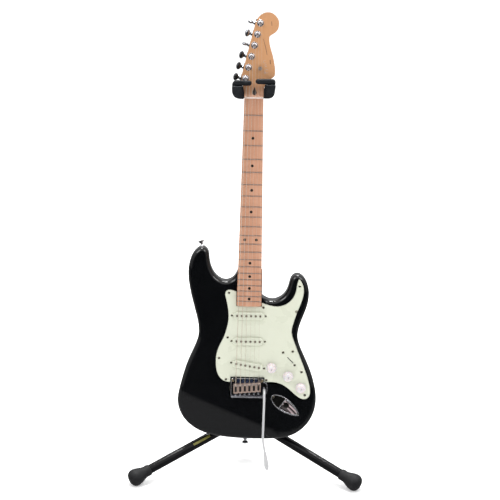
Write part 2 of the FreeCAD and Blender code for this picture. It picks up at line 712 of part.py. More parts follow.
# ---------------------------------------------------------------- tuning machines and strings

STRING_RADII = (0.58, 0.46, 0.33, 0.22, 0.18, 0.16)


def key_direction():
    """Direction of the key shafts: away from the bass edge of the headstock."""
    turn = math.radians(size.tuner_angle)
    return Vector(-math.cos(turn), 0, math.sin(turn))


def tuner_axes():
    """Post axis point on the headstock's face and key shaft point level with it, for each tuner."""
    edge = Vector(key_direction().z, 0, -key_direction().x)
    axes = []
    for x, up in tuner_places():
        post = Vector(x, size.head_face, up)
        key = Vector(x, size.head_face + size.head_thickness + size.key_depth, up) - edge * size.key_offset
        axes.append((post, key))
    return axes


def make_tuners():
    """Housings and bushings stay with the neck; every post and every key turns by itself."""
    housings = []
    back = size.head_face + size.head_thickness
    turn = Rotation(BACK, size.tuner_angle)
    key_way = key_direction()
    for number, (post, key) in enumerate(tuner_axes(), start=1):
        centre = Vector(post.x, back, post.z)
        case = block("19", "12.4", "15", centre + turn.multVec(Vector(-11, 0, -7.5)), turn)
        sleeve = rod("bushing_radius", "head_thickness", Vector(post.x, size.head_face, post.z), BACK)
        washer = rod("bushing_radius + 1.6", "1.6", Vector(post.x, size.head_face, post.z), FRONT)
        barrel = rod("key_radius + 2", "5", key + key_way * 9, key_way)
        post_bore = rod("post_radius + running_clearance", "head_thickness + 12",
                        Vector(post.x, size.head_face - 3, post.z), BACK)
        key_bore = rod("key_radius + running_clearance", "40", key, key_way)
        gear_room = rod("5.6", "9", Vector(post.x, back + 2, post.z), BACK)
        housings.append(cut(fuse([case, sleeve, washer, barrel]), [post_bore, key_bore, gear_room]))

        top = Vector(post.x, size.head_face - size.post_top, post.z)
        shank = rod("post_radius", "post_top + head_thickness + 3", top, BACK)
        gear = rod("4.6", "5", Vector(post.x, back + size.key_depth - 2.5 - 1.3, post.z), BACK)
        waist = DOC.addObject("Part::Torus", "Waist")
        bind(waist, Radius1="post_radius + 0.9", Radius2="1.5")
        waist.Placement = frame_at(top + BACK * 4.2, BACK)
        string_slot = block("1.2", "3", "10", top + Vector(-0.6, -1, -5))
        node("tuner_post_%d" % number, cut(fuse([shank, gear]), [waist, string_slot]), GUITAR)

        shaft = rod("key_radius", "key_reach - 9", key + key_way * 6.8, key_way)
        collar = rod("3.2", "2", key + key_way * 14.4, key_way)
        face_on = number in (1, 2, 3, 5)
        twist = 0.0 if face_on else 90.0
        button = ellipsoid("5.6", "7.2", "3.3", key + key_way * (size.key_reach + 0.6), key_way, twist)
        node("tuner_key_%d" % number, fuse([shaft, collar, button]), GUITAR)
    node("tuner_housings", group(housings), GUITAR)


def string_points(number, radius):
    """Route of one string, bass to treble: block, saddle top, nut, post."""
    spread = number - 2.5
    saddle_x = spread * size.pole_pitch
    nut_x = spread * 7.0
    post, key = tuner_axes()[number]
    saddle_top = -size.plate_float - size.plate_thickness - size.saddle_height - radius - 0.1
    post_side = post.x + size.post_radius - 0.4 + radius
    return [Vector(saddle_x, size.block_depth - 8, -(size.scale_length + 15)),
            Vector(saddle_x, -size.plate_float - size.plate_thickness, -(size.scale_length + 15)),
            Vector(saddle_x, saddle_top, -(size.scale_length + 3)),
            Vector(nut_x, -size.board_rise - size.nut_top + 0.1, -0.5 * size.nut_thickness),
            Vector(nut_x, -size.board_rise - size.nut_top + 0.5, size.nut_thickness),
            Vector(post_side, size.head_face - size.post_top + 4.2, post.z)]


def make_strings():
    """Six wires from the block over the saddles and the nut to the posts."""
    strings = []
    for number, radius in enumerate(STRING_RADII):
        strings.append(bent_bar("%.2f" % radius, string_points(number, radius)))
    node("strings", group(strings), GUITAR)


def make_string_tree():
    """Round retainer that holds the two thinnest strings down."""
    centre = Vector(12.5, size.head_face, 66)
    post = rod("1.8", "4.5", centre, FRONT)
    cap = rod("4.6", "1.6", centre + FRONT * 4.5, FRONT)
    node("string_tree", fuse([post, cap]), GUITAR)


# ---------------------------------------------------------------- front plate and pickups

def tilt_turn(tilt):
    """Rotation within the front plane: positive tilt lowers the treble end."""
    return Rotation(BACK, tilt)


def make_pickguard():
    """Front plate with openings for pickups, controls and every screw."""
    body = plate(body_runs(GUARD_OUTLINE), "XZ_Plane", "guard_thickness")
    tools = []
    for s, tilt in pickup_places():
        turn = tilt_turn(tilt)
        corner = along_neck(0, -6, s) + turn.multVec(Vector(-size.cover_length / 2 - 0.3, 0,
                                                            -size.cover_width / 2 - 0.3))
        tools.append(block("cover_length + 0.6", "12", "cover_width + 0.6", corner, turn))
        for end in (-1, 1):
            tools.append(rod("screw_radius + 0.2", "10", pickup_screw(s, tilt, end) + FRONT * 6, BACK))
    for x, s in GUARD_SCREWS + SWITCH_SCREWS:
        x, s = body_point(x, s)
        tools.append(rod("screw_radius + 0.2", "10", along_neck(x, -6, s), BACK))
    for x, s in KNOB_PLACES.values():
        x, s = body_point(x, s)
        tools.append(rod("shaft_radius + 1.8", "10", along_neck(x, -6, s), BACK))
    (x_low, s_low), (x_high, s_high) = SWITCH_SLOT
    turn = Rotation(BACK, math.degrees(math.atan2(s_high - s_low, x_high - x_low)))
    start = along_neck(*[body_point(x_low, s_low)[0], -6, body_point(x_low, s_low)[1]])
    tools.append(block("19.4", "12", "1.8", start + turn.multVec(Vector(0, 0, -0.9)), turn))
    node("pickguard", cut(body, tools), GUITAR)


def pickup_screw(s, tilt, end):
    """Height screw at one end of a pickup, on the body's front face."""
    return along_neck(0, 0, s) + tilt_turn(tilt).multVec(Vector(end * (size.cover_length / 2 + 3.3), 0, 0))


def make_pickups():
    """Three covers with their bobbins, coils and pole pieces inside."""
    covers = []
    cores = []
    top = -size.guard_thickness - size.cover_rise
    for s, tilt in pickup_places():
        turn = tilt_turn(tilt)

        def spot(x, depth, up):
            return along_neck(0, 0, s) + turn.multVec(Vector(x, depth, up))

        half_long = size.cover_length / 2
        half_wide = size.cover_width / 2
        shell = [block("cover_length - cover_width", "cover_rise + guard_thickness + 6", "cover_width",
                       spot(-half_long + half_wide, top, -half_wide), turn)]
        inner = [block("cover_length - cover_width", "30", "cover_width - 2 * cover_wall",
                       spot(-half_long + half_wide, top + size.cover_wall, -half_wide + size.cover_wall), turn)]
        for end in (-1, 1):
            corner = spot(end * (half_long - half_wide), top, 0)
            shell.append(rod("cover_width / 2", "cover_rise + guard_thickness + 6", corner, BACK))
            inner.append(rod("cover_width / 2 - cover_wall", "30", corner + BACK * size.cover_wall, BACK))
        holes = []
        magnets = []
        for number in range(6):
            x = (number - 2.5) * size.pole_pitch
            holes.append(rod("pole_radius + 0.05", "6", spot(x, top - 2, 0), BACK))
            magnets.append(rod("pole_radius", "17", spot(x, top - 0.4, 0), BACK))
        covers.append(cut(fuse(shell), inner + holes))
        coil = [block("50", "10.9", "11", spot(-25, top + 2.6, -5.5), turn)]
        flanges = [block("58", "1.2", "14", spot(-29, top + 1.4, -7), turn),
                   block("84", "2", "20", spot(-42, top + 13.4, -10), turn)]
        cores.append(fuse(coil + flanges + magnets))
    node("pickup_covers", group(covers), GUITAR)
    node("pickup_cores", group(cores), GUITAR)


def screw(point, way, length, head="screw_head_radius"):
    """Domed screw: head outside the surface at point, shank going in along way."""
    shank = rod("screw_radius", length, point, way)
    cap = taper(head, head + " - 0.9", "1.1", point, way * -1)
    return fuse([shank, cap])


def make_screws():
    """Every small wood screw and plate screw of the guitar."""
    front = -size.guard_thickness
    screws = [screw(along_neck(body_point(x, s)[0], front, body_point(x, s)[1]), BACK, "12")
              for x, s in GUARD_SCREWS + SWITCH_SCREWS]
    for s, tilt in pickup_places():
        for end in (-1, 1):
            screws.append(screw(pickup_screw(s, tilt, end) + FRONT * size.guard_thickness, BACK, "15",
                                "screw_head_radius - 0.4"))
    back = size.body_thickness + size.back_plate_thickness
    for x, s in BACK_SCREWS:
        screws.append(screw(along_neck(x, back, s), FRONT, "12"))
    for x, s in NECK_SCREWS:
        screws.append(screw(along_neck(x, back + 0.5, s), FRONT, "40", "screw_head_radius + 1.4"))
    for offset in (-34.0, 34.0):
        turn = Rotation(BACK, JACK_TILT)
        x, s = body_point(*JACK_CENTRE)
        spot = along_neck(x, -size.jack_plate_thickness, s) + turn.multVec(Vector(offset, 0, 0))
        screws.append(screw(spot, BACK, "12"))
    node("guitar_screws", group(screws), GUITAR)


# ---------------------------------------------------------------- controls

SWITCH_PIVOT = 21.0


def make_controls():
    """Potentiometers under the plate, their knobs, and the selector switch with its lever."""
    pots = []
    for name, place in KNOB_PLACES.items():
        x, s = body_point(*place)
        can = rod("pot_radius", "9", along_neck(x, 5, s), BACK)
        seat = rod("9", "4.8", along_neck(x, 0.2, s), BACK)
        bushing = rod("shaft_radius + 1.6", "guard_thickness + 3.4", along_neck(x, 3.2, s), FRONT)
        nut = rod("shaft_radius + 3.2", "1.0", along_neck(x, -size.guard_thickness, s), FRONT)
        bore = rod("shaft_radius + running_clearance", "11", along_neck(x, 3.2, s), FRONT)
        pots.append(cut(fuse([can, seat, bushing, nut]), [bore]))

        base = -size.guard_thickness - 1.4
        skirt = taper("knob_radius", "knob_radius - 2", "4.5", along_neck(x, base, s), FRONT)
        grip = taper("knob_radius - 3.2", "knob_radius - 4.0", "knob_height - 4.5",
                     along_neck(x, base - 4.5, s), FRONT)
        spindle = rod("shaft_radius", "knob_height", along_neck(x, 2.6, s), FRONT)
        hollow = rod("shaft_radius + 4.2", "2.4", along_neck(x, base + 0.6, s), FRONT)
        ring = cut(fuse([skirt, grip]), [hollow])
        node(name, fuse([ring, spindle]), GUITAR)
    node("pots", group(pots), GUITAR)

    (x_low, s_low), (x_high, s_high) = SWITCH_SLOT
    x_low, s_low = body_point(x_low, s_low)
    x_high, s_high = body_point(x_high, s_high)
    turn = Rotation(BACK, math.degrees(math.atan2(s_high - s_low, x_high - x_low)))
    centre = along_neck((x_low + x_high) / 2, 0, (s_low + s_high) / 2)

    def spot(x, depth, up):
        return centre + turn.multVec(Vector(x, depth, up))

    strap = block("46", "1.2", "7", spot(-23, 0.2, -3.5), turn)
    web = block("26", "26", "1.2", spot(-13, 1.0, 2.3), turn)
    wafer = block("30", "22", "1.5", spot(-15, 6, 3.5), turn)
    slot = block("20", "4", "2.0", spot(-10, -1, -1.0), turn)
    holes = [rod("screw_radius", "5", along_neck(body_point(x, s)[0], -1, body_point(x, s)[1]), BACK)
             for x, s in SWITCH_SCREWS]
    pin = rod("1.5", "6", spot(0, SWITCH_PIVOT, 3.0), turn.multVec(Vector(0, 0, -1)))
    node("switch_frame", cut(fuse([strap, web, wafer, pin]), [slot] + holes), GUITAR)
    blade = block("3.6", "25", "1.0", spot(4.4, -5.4, -0.5), turn)
    hub = rod("3.4", "1.0", spot(0, SWITCH_PIVOT, 0.5), turn.multVec(Vector(0, 0, -1)))
    strut = block("8", "4", "1.0", spot(0, SWITCH_PIVOT - 3.4, -0.5), turn)
    bore = rod("1.5 + running_clearance", "6", spot(0, SWITCH_PIVOT, 3.0), turn.multVec(Vector(0, 0, -1)))
    node("switch_lever", cut(fuse([blade, hub, strut]), [bore]), GUITAR)


def make_jack():
    """Boat-shaped plate with a sunk cup, and the socket behind it."""
    x, s = body_point(*JACK_CENTRE)
    turn = Rotation(BACK, JACK_TILT)
    centre = along_neck(x, 0, s)
    oval = ellipsoid("60", "39.5", "15.5", Vector(0, 0, 0), BACK)
    keep = block("90", "jack_plate_thickness", "40", Vector(-45, -size.jack_plate_thickness, -20))
    slab = DOC.addObject("Part::Common", "Slab")
    slab.Base = oval
    slab.Tool = keep
    cup = rod("9.8", "14", Vector(JACK_CUP, -size.jack_plate_thickness, 0), BACK)
    hollow = rod("8.6", "12", Vector(JACK_CUP, -size.jack_plate_thickness - 0.1, 0), BACK)
    mouth = rod("4.9", "30", Vector(JACK_CUP, -5, 0), BACK)
    holes = [rod("screw_radius + 0.1", "10", Vector(side, -5, 0), BACK) for side in (-34, 34)]
    whole = cut(fuse([slab, cup]), [hollow, mouth] + holes)
    node("jack_plate", whole, GUITAR.multiply(Placement(centre, turn)))
    barrel = rod("4.8", "jack_length - 2", Vector(JACK_CUP, 9.2, 0), BACK)
    collar = rod("7.5", "2", Vector(JACK_CUP, 12.7, 0), BACK)
    nut = rod("6.4", "1.4", Vector(JACK_CUP, 10.3, 0), FRONT)
    bore = rod("jack_radius", "jack_length - 3.4", Vector(JACK_CUP, 8.6, 0), BACK)
    node("jack_socket", cut(fuse([barrel, collar, nut]), [bore]), GUITAR.multiply(Placement(centre, turn)))


def make_strap_buttons():
    """Two waisted buttons, one on the upper horn and one at the tail."""
    buttons = []
    for (x, s), way in STRAP_BUTTONS:
        x, s = body_point(x, s)
        direction = Vector(way[0], 0, way[1])
        direction.normalize()
        start = along_neck(x, size.body_thickness / 2, s) + direction * 0.4
        foot = taper("button_radius - 1", "3", "4", start, direction)
        waist = rod("3", "button_height", start, direction)
        flare = taper("3", "button_radius", "4", start + direction * (size.button_height - 6), direction)
        cap = rod("button_radius", "2", start + direction * (size.button_height - 2), direction)
        shank = rod("screw_radius + 0.4", "16", start - direction * 15, direction)
        buttons.append(fuse([foot, waist, flare, cap, shank]))
    node("strap_buttons", group(buttons), GUITAR)


def make_back_plates():
    """Neck plate and the cover of the spring cavity, both on the back face."""
    thick = size.body_thickness
    plate_screws = [rod("screw_radius + 0.1", "20", along_neck(x, thick - 5, s), BACK)
                    for x, s in NECK_SCREWS + BACK_SCREWS]
    neck_side = block("51", "back_plate_thickness + 0.5", "63", along_neck(-25.5, thick, 452.5))
    node("neck_plate", cut(neck_side, plate_screws[:4]), GUITAR)
    cover = block("88", "back_plate_thickness", "144", along_neck(-44, thick, 714))
    string_window = pocket_box(-32, 32, 642, 668, thick - 1, thick + 3)
    node("back_cover", cut(cover, plate_screws[4:] + [string_window]), GUITAR)


# ---------------------------------------------------------------- tremolo bridge

SPRING_SIDES = (-20.0, 0.0, 20.0)
STUD_SIDES = (-28, 28)
STUD_GAP = 0.95
ARM_SIDE = 39.5
ARM_DOWN = 661.5


def make_bridge():
    """Floating plate with six saddles and a deep block; two studs carry its front edge."""
    low = -size.plate_float
    base = block("plate_right - plate_left", "plate_thickness", "plate_bottom - plate_top",
                 along_neck(size.plate_left, low - size.plate_thickness, size.plate_bottom))
    ear = block("9", "plate_thickness", "27", along_neck(size.plate_right, low - size.plate_thickness, 672))
    lip = block("plate_right - plate_left", "7", "2",
                along_neck(size.plate_left, low - size.plate_thickness - 7, size.plate_bottom))
    notches = [rod("3.2", "30", along_neck(x, -20, size.pivot_line - 3.2), BACK) for x in STUD_SIDES]
    arm_hole = rod("arm_radius + running_clearance", "30", along_neck(ARM_SIDE, -20, ARM_DOWN), BACK)
    string_holes = [rod("2", "30", along_neck((n - 2.5) * size.pole_pitch, -20, size.scale_length + 15), BACK)
                    for n in range(6)]
    node("bridge_plate", cut(fuse([base, ear, lip]), notches + [arm_hole] + string_holes), GUITAR)

    saddles = []
    for number in range(6):
        x = (number - 2.5) * size.pole_pitch
        down = size.scale_length + size.saddle_length
        solid = block("saddle_width", "saddle_height", "saddle_length",
                      along_neck(x - size.saddle_width / 2,
                                 low - size.plate_thickness - size.saddle_height, down))
        window = block("3.4", "30", "15.5", along_neck(x - 1.7, -30, down - 2.5))
        adjuster = rod("1.5", "8.4", along_neck(x, low - size.plate_thickness - 4.2, down), Vector(0, 0, -1))
        saddles.append(fuse([cut(solid, [window]), adjuster]))
    node("saddles", group(saddles), GUITAR)

    inertia = block("74", "block_depth", "12", along_neck(-37, low, size.scale_length + 21))
    channels = [rod("2", "80", along_neck((n - 2.5) * size.pole_pitch, -20, size.scale_length + 15), BACK)
                for n in range(6)]
    node("trem_block", cut(inertia, channels), GUITAR)

    anchors = []
    for x in STUD_SIDES:
        centre = along_neck(x, 16, size.pivot_line - 3.2)
        under_head = 16 + size.plate_float + size.plate_thickness + STUD_GAP
        stud = rod("2.9", "%.2f" % (under_head + 1), centre, FRONT)
        head = rod("4.8", "2", centre + FRONT * under_head, FRONT)
        anchors.append(fuse([stud, head]))
    thick = size.body_thickness
    claw = block("60", "1.6", "9", along_neck(-30, thick - 9, 588))
    hooks = [block("2.4", "6", "5", along_neck(x - 1.2, thick - 9, 592)) for x in SPRING_SIDES]
    claw_screws = [rod("2", "22", along_neck(x, thick - 8, 586), UP) for x in (-17, 17)]
    anchors.append(fuse([claw] + hooks + claw_screws))
    node("trem_anchors", group(anchors), GUITAR)

    springs = []
    for x in SPRING_SIDES:
        springs.append(rod("3.6", "60", along_neck(x, thick - 8, 653), UP))
    node("trem_springs", group(springs), GUITAR)


def make_arm():
    """Bent bar that hangs from its hole in the plate, with a tapered tip."""
    low = -size.plate_float
    points = [along_neck(ARM_SIDE, low - 0.2, ARM_DOWN), along_neck(ARM_SIDE, low - 13, ARM_DOWN),
              along_neck(ARM_SIDE, low - 19, ARM_DOWN + 6), along_neck(ARM_SIDE, low - 24, ARM_DOWN + 30),
              along_neck(38.6, low - 24, 770), along_neck(40.2, low - 24, 784), along_neck(44.3, low - 24, 806)]
    bar = bent_bar("arm_radius", points)
    tip_start = points[-1]
    tip_way = (along_neck(50.4, low - 24, 848) - tip_start).normalize()
    sleeve = taper("arm_radius + 0.6", "arm_tip_radius", "26", tip_start - tip_way * 2, tip_way)
    end = ellipsoid("15", "arm_tip_radius", "arm_tip_radius", tip_start + tip_way * 26, tip_way)
    node("trem_arm", fuse([bar, sleeve, end]), GUITAR)


def make_guitar():
    make_guitar_body()
    make_neck()
    make_neck_trim()
    make_tuners()
    make_strings()
    make_string_tree()
    make_pickguard()
    make_pickups()
    make_screws()
    make_controls()
    make_jack()
    make_strap_buttons()
    make_back_plates()
    make_bridge()
    make_arm()


# ---------------------------------------------------------------- finish

def write_parts():
    """Check every object, then write one file for each sub-part."""
    DOC.recompute()
    for item in DOC.Objects:
        if "Invalid" in item.State or "Error" in item.State:
            box = [child.Shape.BoundBox for child in item.OutList if hasattr(child, "Shape")]
            raise RuntimeError("%s (%s) failed: %s" % (item.Name, item.Label, box))
    os.makedirs("parts", exist_ok=True)
    for item in NODES:
        shape = item.Shape
        if shape.isNull() or not shape.isValid():
            raise RuntimeError("bad shape: " + item.Label)
        shape.exportStep("parts/%s.step" % item.Label)
        print("%-18s solids %2d volume %9.0f" % (item.Label, len(shape.Solids), shape.Volume))


make_stand()
make_guitar()
write_parts()
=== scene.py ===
import json
import math

import bmesh
import bpy
import numpy as np
from mathutils import Matrix, Vector, geometry


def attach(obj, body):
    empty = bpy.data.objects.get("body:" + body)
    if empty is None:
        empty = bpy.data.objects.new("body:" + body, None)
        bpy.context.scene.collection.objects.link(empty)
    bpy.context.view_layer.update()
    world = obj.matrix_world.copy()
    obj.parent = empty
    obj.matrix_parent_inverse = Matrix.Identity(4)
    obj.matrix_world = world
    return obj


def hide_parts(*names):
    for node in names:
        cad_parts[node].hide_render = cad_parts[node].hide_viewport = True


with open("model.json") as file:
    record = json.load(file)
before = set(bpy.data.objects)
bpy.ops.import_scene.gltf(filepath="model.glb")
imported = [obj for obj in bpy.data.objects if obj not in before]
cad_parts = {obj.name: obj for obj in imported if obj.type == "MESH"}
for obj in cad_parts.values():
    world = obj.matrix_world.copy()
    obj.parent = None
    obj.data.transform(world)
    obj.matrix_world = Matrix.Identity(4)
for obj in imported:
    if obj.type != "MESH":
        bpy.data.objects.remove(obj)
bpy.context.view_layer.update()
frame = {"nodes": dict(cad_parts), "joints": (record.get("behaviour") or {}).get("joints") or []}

# ---------------- guitar's own directions
# The neck and the mast lean back together. Places on the guitar are given in millimetres as
# side (treble side positive), depth (backwards from the body's face) and distance down from the nut.

joint_of = {joint["name"]: joint for joint in frame["joints"]}
MM = 0.001
RIGHT = np.array([1.0, 0.0, 0.0])
UP = np.array(joint_of["height_adjust"]["axis"])
BACK = np.cross(UP, RIGHT)
FIRST_POST = (-19.4, 43.6)
NUT = (np.array(joint_of["post_1_turn"]["pos_m"]) - RIGHT * FIRST_POST[0] * MM - UP * FIRST_POST[1] * MM)


def on_guitar(side, depth, down):
    """Metres in the shared frame: the nut's place plus side, depth and distance down along the guitar's axes."""
    side, depth, down = np.broadcast_arrays(*(np.asarray(v, float) for v in (side, depth, down)))
    return NUT + MM * (side[..., None] * RIGHT + depth[..., None] * BACK - down[..., None] * UP)


def at_depth(loop, depth):
    """A loop of (side, down) points placed at a depth."""
    return on_guitar(loop[:, 0], depth, loop[:, 1])


def guitar_way(side, depth, down):
    """Unit direction given along the guitar's own axes."""
    way = side * RIGHT + depth * BACK - down * UP
    return way / np.linalg.norm(way)


# ---------------- hub, lower mast, backrest bar
# Steel tube and a cast hub, powder coated in satin black with a faint orange-peel texture.
# The tubes slide and fold, so the coat is slightly rubbed.

STAND_BLACK = (0.006, 0.0062, 0.0075)
STAND_RUBBED = (0.014, 0.0145, 0.017)
GRAIN_HEIGHT = 0.0004


def add_node(tree, kind, values=None, **settings):
    """New shader node: settings are its own properties, values its sockets by name or number."""
    node = tree.nodes.new("ShaderNode" + kind)
    for label, value in settings.items():
        setattr(node, label, value)
    for label, value in (values or {}).items():
        node.inputs[label].default_value = value
    return node


def link(source, target):
    """Join an output socket to an input socket."""
    target.id_data.links.new(source, target)


def new_material(name):
    """New material with its node tree and its shader."""
    material = bpy.data.materials.new(name)
    material.use_nodes = True
    return material, material.node_tree, material.node_tree.nodes["Principled BSDF"]


def mix_colour(tree, mask, low, high):
    """Colour between low and high by a mask socket; low and high are colours or sockets."""
    mix = add_node(tree, "Mix", data_type="RGBA")
    link(mask, mix.inputs["Factor"])
    for label, value in (("A", low), ("B", high)):
        socket = [s for s in mix.inputs if s.name == label and s.type == "RGBA"][0]
        if isinstance(value, bpy.types.NodeSocket):
            link(value, socket)
        else:
            socket.default_value = (*value, 1.0)
    return [s for s in mix.outputs if s.type == "RGBA"][0]


def map_range(tree, value, low, high, start=0.0, end=1.0):
    """Number that runs from low to high as value runs from start to end."""
    spread = add_node(tree, "MapRange", {"From Min": start, "From Max": end, "To Min": low, "To Max": high})
    link(value, spread.inputs["Value"])
    return spread.outputs["Result"]


def bumped(tree, shader, height, strength, distance):
    """Let a height socket tilt the shader's normal."""
    bump = add_node(tree, "Bump", {"Strength": strength, "Distance": distance})
    link(height, bump.inputs["Height"])
    link(bump.outputs["Normal"], shader.inputs["Normal"])


def mottled(tree, scale, fine, stretch=(1.0, 1.0, 1.0)):
    """Soft and fine mask sockets, each from 0 to 1: noise of two scales along the guitar's axes.
    Stretch multiplies the pattern's fineness, so 0.05 along the neck makes long streaks."""
    coords = add_node(tree, "TexCoord")
    upright = add_node(tree, "Mapping", {"Rotation": (math.atan2(UP[1], UP[2]), 0.0, 0.0)})
    stretched = add_node(tree, "VectorMath", {1: stretch}, operation="MULTIPLY")
    link(coords.outputs["Object"], upright.inputs["Vector"])
    link(upright.outputs["Vector"], stretched.inputs[0])
    masks = []
    for fineness, detail in ((scale, 3.0), (fine, 2.0)):
        noise = add_node(tree, "TexNoise", {"Scale": fineness, "Detail": detail})
        link(stretched.outputs["Vector"], noise.inputs["Vector"])
        masks.append(map_range(tree, noise.outputs["Fac"], 0.0, 1.0, 0.3, 0.7))
    return masks


def finish_of(name, low, high, rough, metallic=0.0, scale=60.0, fine=900.0, grain=0.0, **uniform):
    """Material whose colour and roughness wander between two values over the surface, with a fine grain.
    Other keywords set the shader's own sockets, with underscores for spaces."""
    material, tree, shader = new_material(name)
    soft, fine_grain = mottled(tree, scale, fine)
    link(mix_colour(tree, soft, low, high), shader.inputs["Base Color"])
    link(map_range(tree, soft, *rough), shader.inputs["Roughness"])
    shader.inputs["Metallic"].default_value = metallic
    if grain:
        bumped(tree, shader, fine_grain, grain, GRAIN_HEIGHT)
    for label, value in uniform.items():
        shader.inputs[label.replace("_", " ").title().replace("Ior", "IOR")].default_value = value
    return material


def wear(piece, material):
    """Give a piece one material all over."""
    if not piece.material_slots:
        piece.data.materials.append(material)
    for slot in piece.material_slots:
        slot.material = material


def coated(nodes, *values, **settings):
    """Make a finish and give it to CAD nodes, named in one line."""
    material = finish_of(*values, **settings)
    for node in nodes.split():
        wear(frame["nodes"][node], material)
    return material


coated("leg_hub main_tube backrest_bar", "satin_black_powder_coat", STAND_BLACK, STAND_RUBBED, (0.24, 0.36), scale=25,
       fine=1400, grain=0.2, specular_ior_level=0.3)

# ---------------- legs
# Steel tubes in a glossier black than the mast, folding on pins in the hub.
# The left one has a plain olive band on its upper front.


def mesh_piece(name, points, faces, sharp=35.0):
    """New object at the origin from points in metres and faces; edges sharper than an angle stay crisp."""
    mesh = bpy.data.meshes.new(name)
    mesh.from_pydata([tuple(p) for p in np.asarray(points).reshape(-1, 3)], [], faces)
    mesh.validate()
    piece = bpy.data.objects.new(name, mesh)
    bpy.context.scene.collection.objects.link(piece)
    mesh.polygons.foreach_set("use_smooth", [True] * len(mesh.polygons))
    if sharp:
        mesh.set_sharp_from_angle(angle=math.radians(sharp))
    return piece


def strip_faces(rows, columns, start=0):
    """Quads between neighbouring rows of points, each row a closed loop."""
    row = np.arange(rows - 1)[:, None] * columns + start
    column = np.arange(columns)[None, :]
    following = (column + 1) % columns
    quads = np.stack([row + column, row + following, row + columns + following, row + columns + column], -1)
    return quads.reshape(-1, 4).tolist()


def weld(piece, distance=1e-6):
    """Merge doubled points and turn every face outwards."""
    shell = bmesh.new()
    shell.from_mesh(piece.data)
    bmesh.ops.remove_doubles(shell, verts=shell.verts, dist=distance)
    bmesh.ops.recalc_face_normals(shell, faces=shell.faces)
    shell.to_mesh(piece.data)
    shell.free()
    return piece


def closed_rows(name, rows, sharp=35.0):
    """Skin over rows of equally many points, closed at both ends by a face."""
    rows = np.asarray(rows)
    count, columns = rows.shape[:2]
    faces = strip_faces(count, columns)
    faces += [list(range(columns)), list(range((count - 1) * columns, count * columns))]
    piece = weld(mesh_piece(name, rows, faces, None), 2e-6)
    piece.data.set_sharp_from_angle(angle=math.radians(sharp))
    return piece


def turned(name, profile, start, way, sides=48, flutes=0, depth=0.0, sharp=35.0):
    """Surface of revolution round a line from start (metres) along way; profile is (along, radius) in
    millimetres. Flutes multiply the radius by 1 + depth cos(flutes a) at the angle a."""
    way = np.asarray(way, float) / np.linalg.norm(way)
    across = np.cross(way, RIGHT if abs(way @ RIGHT) < 0.9 else UP)
    across /= np.linalg.norm(across)
    other = np.cross(way, across)
    angle = np.linspace(0, 2 * math.pi, sides, endpoint=False)
    rim = np.cos(angle)[:, None] * across + np.sin(angle)[:, None] * other
    wave = (1 + depth * np.cos(flutes * angle))[:, None]
    rows = [np.asarray(start) + MM * (along * way + max(radius, 0.01) * wave * rim) for along, radius in profile]
    return closed_rows(name, rows, sharp)


def dressed(piece, material, body, replaces=None):
    """Give a piece its material, the body it rides on, and the CAD node it stands for."""
    wear(piece, material)
    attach(piece, body)
    if replaces:
        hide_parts(replaces)
    return piece


LEG_START = (0.0, -0.07154, 0.1072)
LEG_AZIMUTHS = {"left": 210, "right": 330, "rear": 90}
LEG_SLOPE = math.radians(17)
LEG_PROFILE = [(58, 9.2), (62, 10.3), (72, 10.6), (276, 10.6), (277, 9.4)]


def leg_way(azimuth):
    """Unit direction of a leg, outwards and down."""
    flat = math.cos(LEG_SLOPE)
    return np.array([flat * math.cos(math.radians(azimuth)), flat * math.sin(math.radians(azimuth)),
                     -math.sin(LEG_SLOPE)])


leg_gloss = coated("leg_left leg_right leg_rear", "gloss_black_leg", (0.002, 0.002, 0.0025),
                   (0.004, 0.004, 0.005), (0.12, 0.20), scale=30, grain=0.03, specular_ior_level=0.22)
for name, azimuth in LEG_AZIMUTHS.items():
    dressed(turned(name + "_leg_tube", LEG_PROFILE, LEG_START, leg_way(azimuth), 40), leg_gloss, name + "_leg")
stripe_olive = finish_of("olive_stripe", (0.10, 0.095, 0.012), (0.19, 0.175, 0.03), (0.4, 0.5))
STRIPE_ANGLES = np.radians(np.linspace(26, 56, 8))
STRIPE_RUN = (104, 150)
STRIPE_RADII = (10.66, 10.3)


def leg_stripe():
    """Thin plain band on the upper front of the left leg: an arc of the tube, slightly proud of it."""
    way = leg_way(LEG_AZIMUTHS["left"])
    level = np.cross(way, [0.0, 0.0, 1.0])
    level *= -np.sign(level[1]) / np.linalg.norm(level)
    upward = np.cross(level, way)
    upward *= np.sign(upward[2])
    rows = []
    for radius, angles in zip(STRIPE_RADII, (STRIPE_ANGLES, STRIPE_ANGLES[::-1])):
        for angle in angles:
            out = math.cos(angle) * level + math.sin(angle) * upward
            rows.append([np.array(LEG_START) + MM * (along * way + radius * out) for along in STRIPE_RUN])
    return closed_rows("left_leg_stripe", np.array(rows).transpose(1, 0, 2))


dressed(leg_stripe(), stripe_olive, "left_leg")

# ---------------- sliding shaft and bolts
# The inner tube is dark chromed so that it slides.
# The pins and bolts are blackened zinc.

coated("upper_shaft", "black_chrome_shaft", (0.02, 0.02, 0.022), (0.05, 0.05, 0.055), (0.16, 0.26), metallic=0.6,
       scale=40)
coated("stand_bolts", "blackened_bolt", (0.07, 0.07, 0.075), (0.16, 0.16, 0.17), (0.3, 0.5), metallic=1.0)

# ---------------- moulded clutch, lever and yoke housing
# Glass-filled nylon, matt black, with the fine grain that the mould leaves.
# The clutch, its lever and the yoke's housing are of the same moulding.

coated("clutch_housing clutch_lever yoke_housing", "black_nylon", (0.008, 0.0083, 0.01), (0.015, 0.0155, 0.018),
       (0.42, 0.56), scale=90, fine=2200, grain=0.35, specular_ior_level=0.25)

# ---------------- yoke cradle and gates
# Steel core under a jacket of firm moulded foam, matt with a bluish cast. The arms and ledges are rounded blocks,
# and each gate is a tapered finger that swings shut in front of the neck.

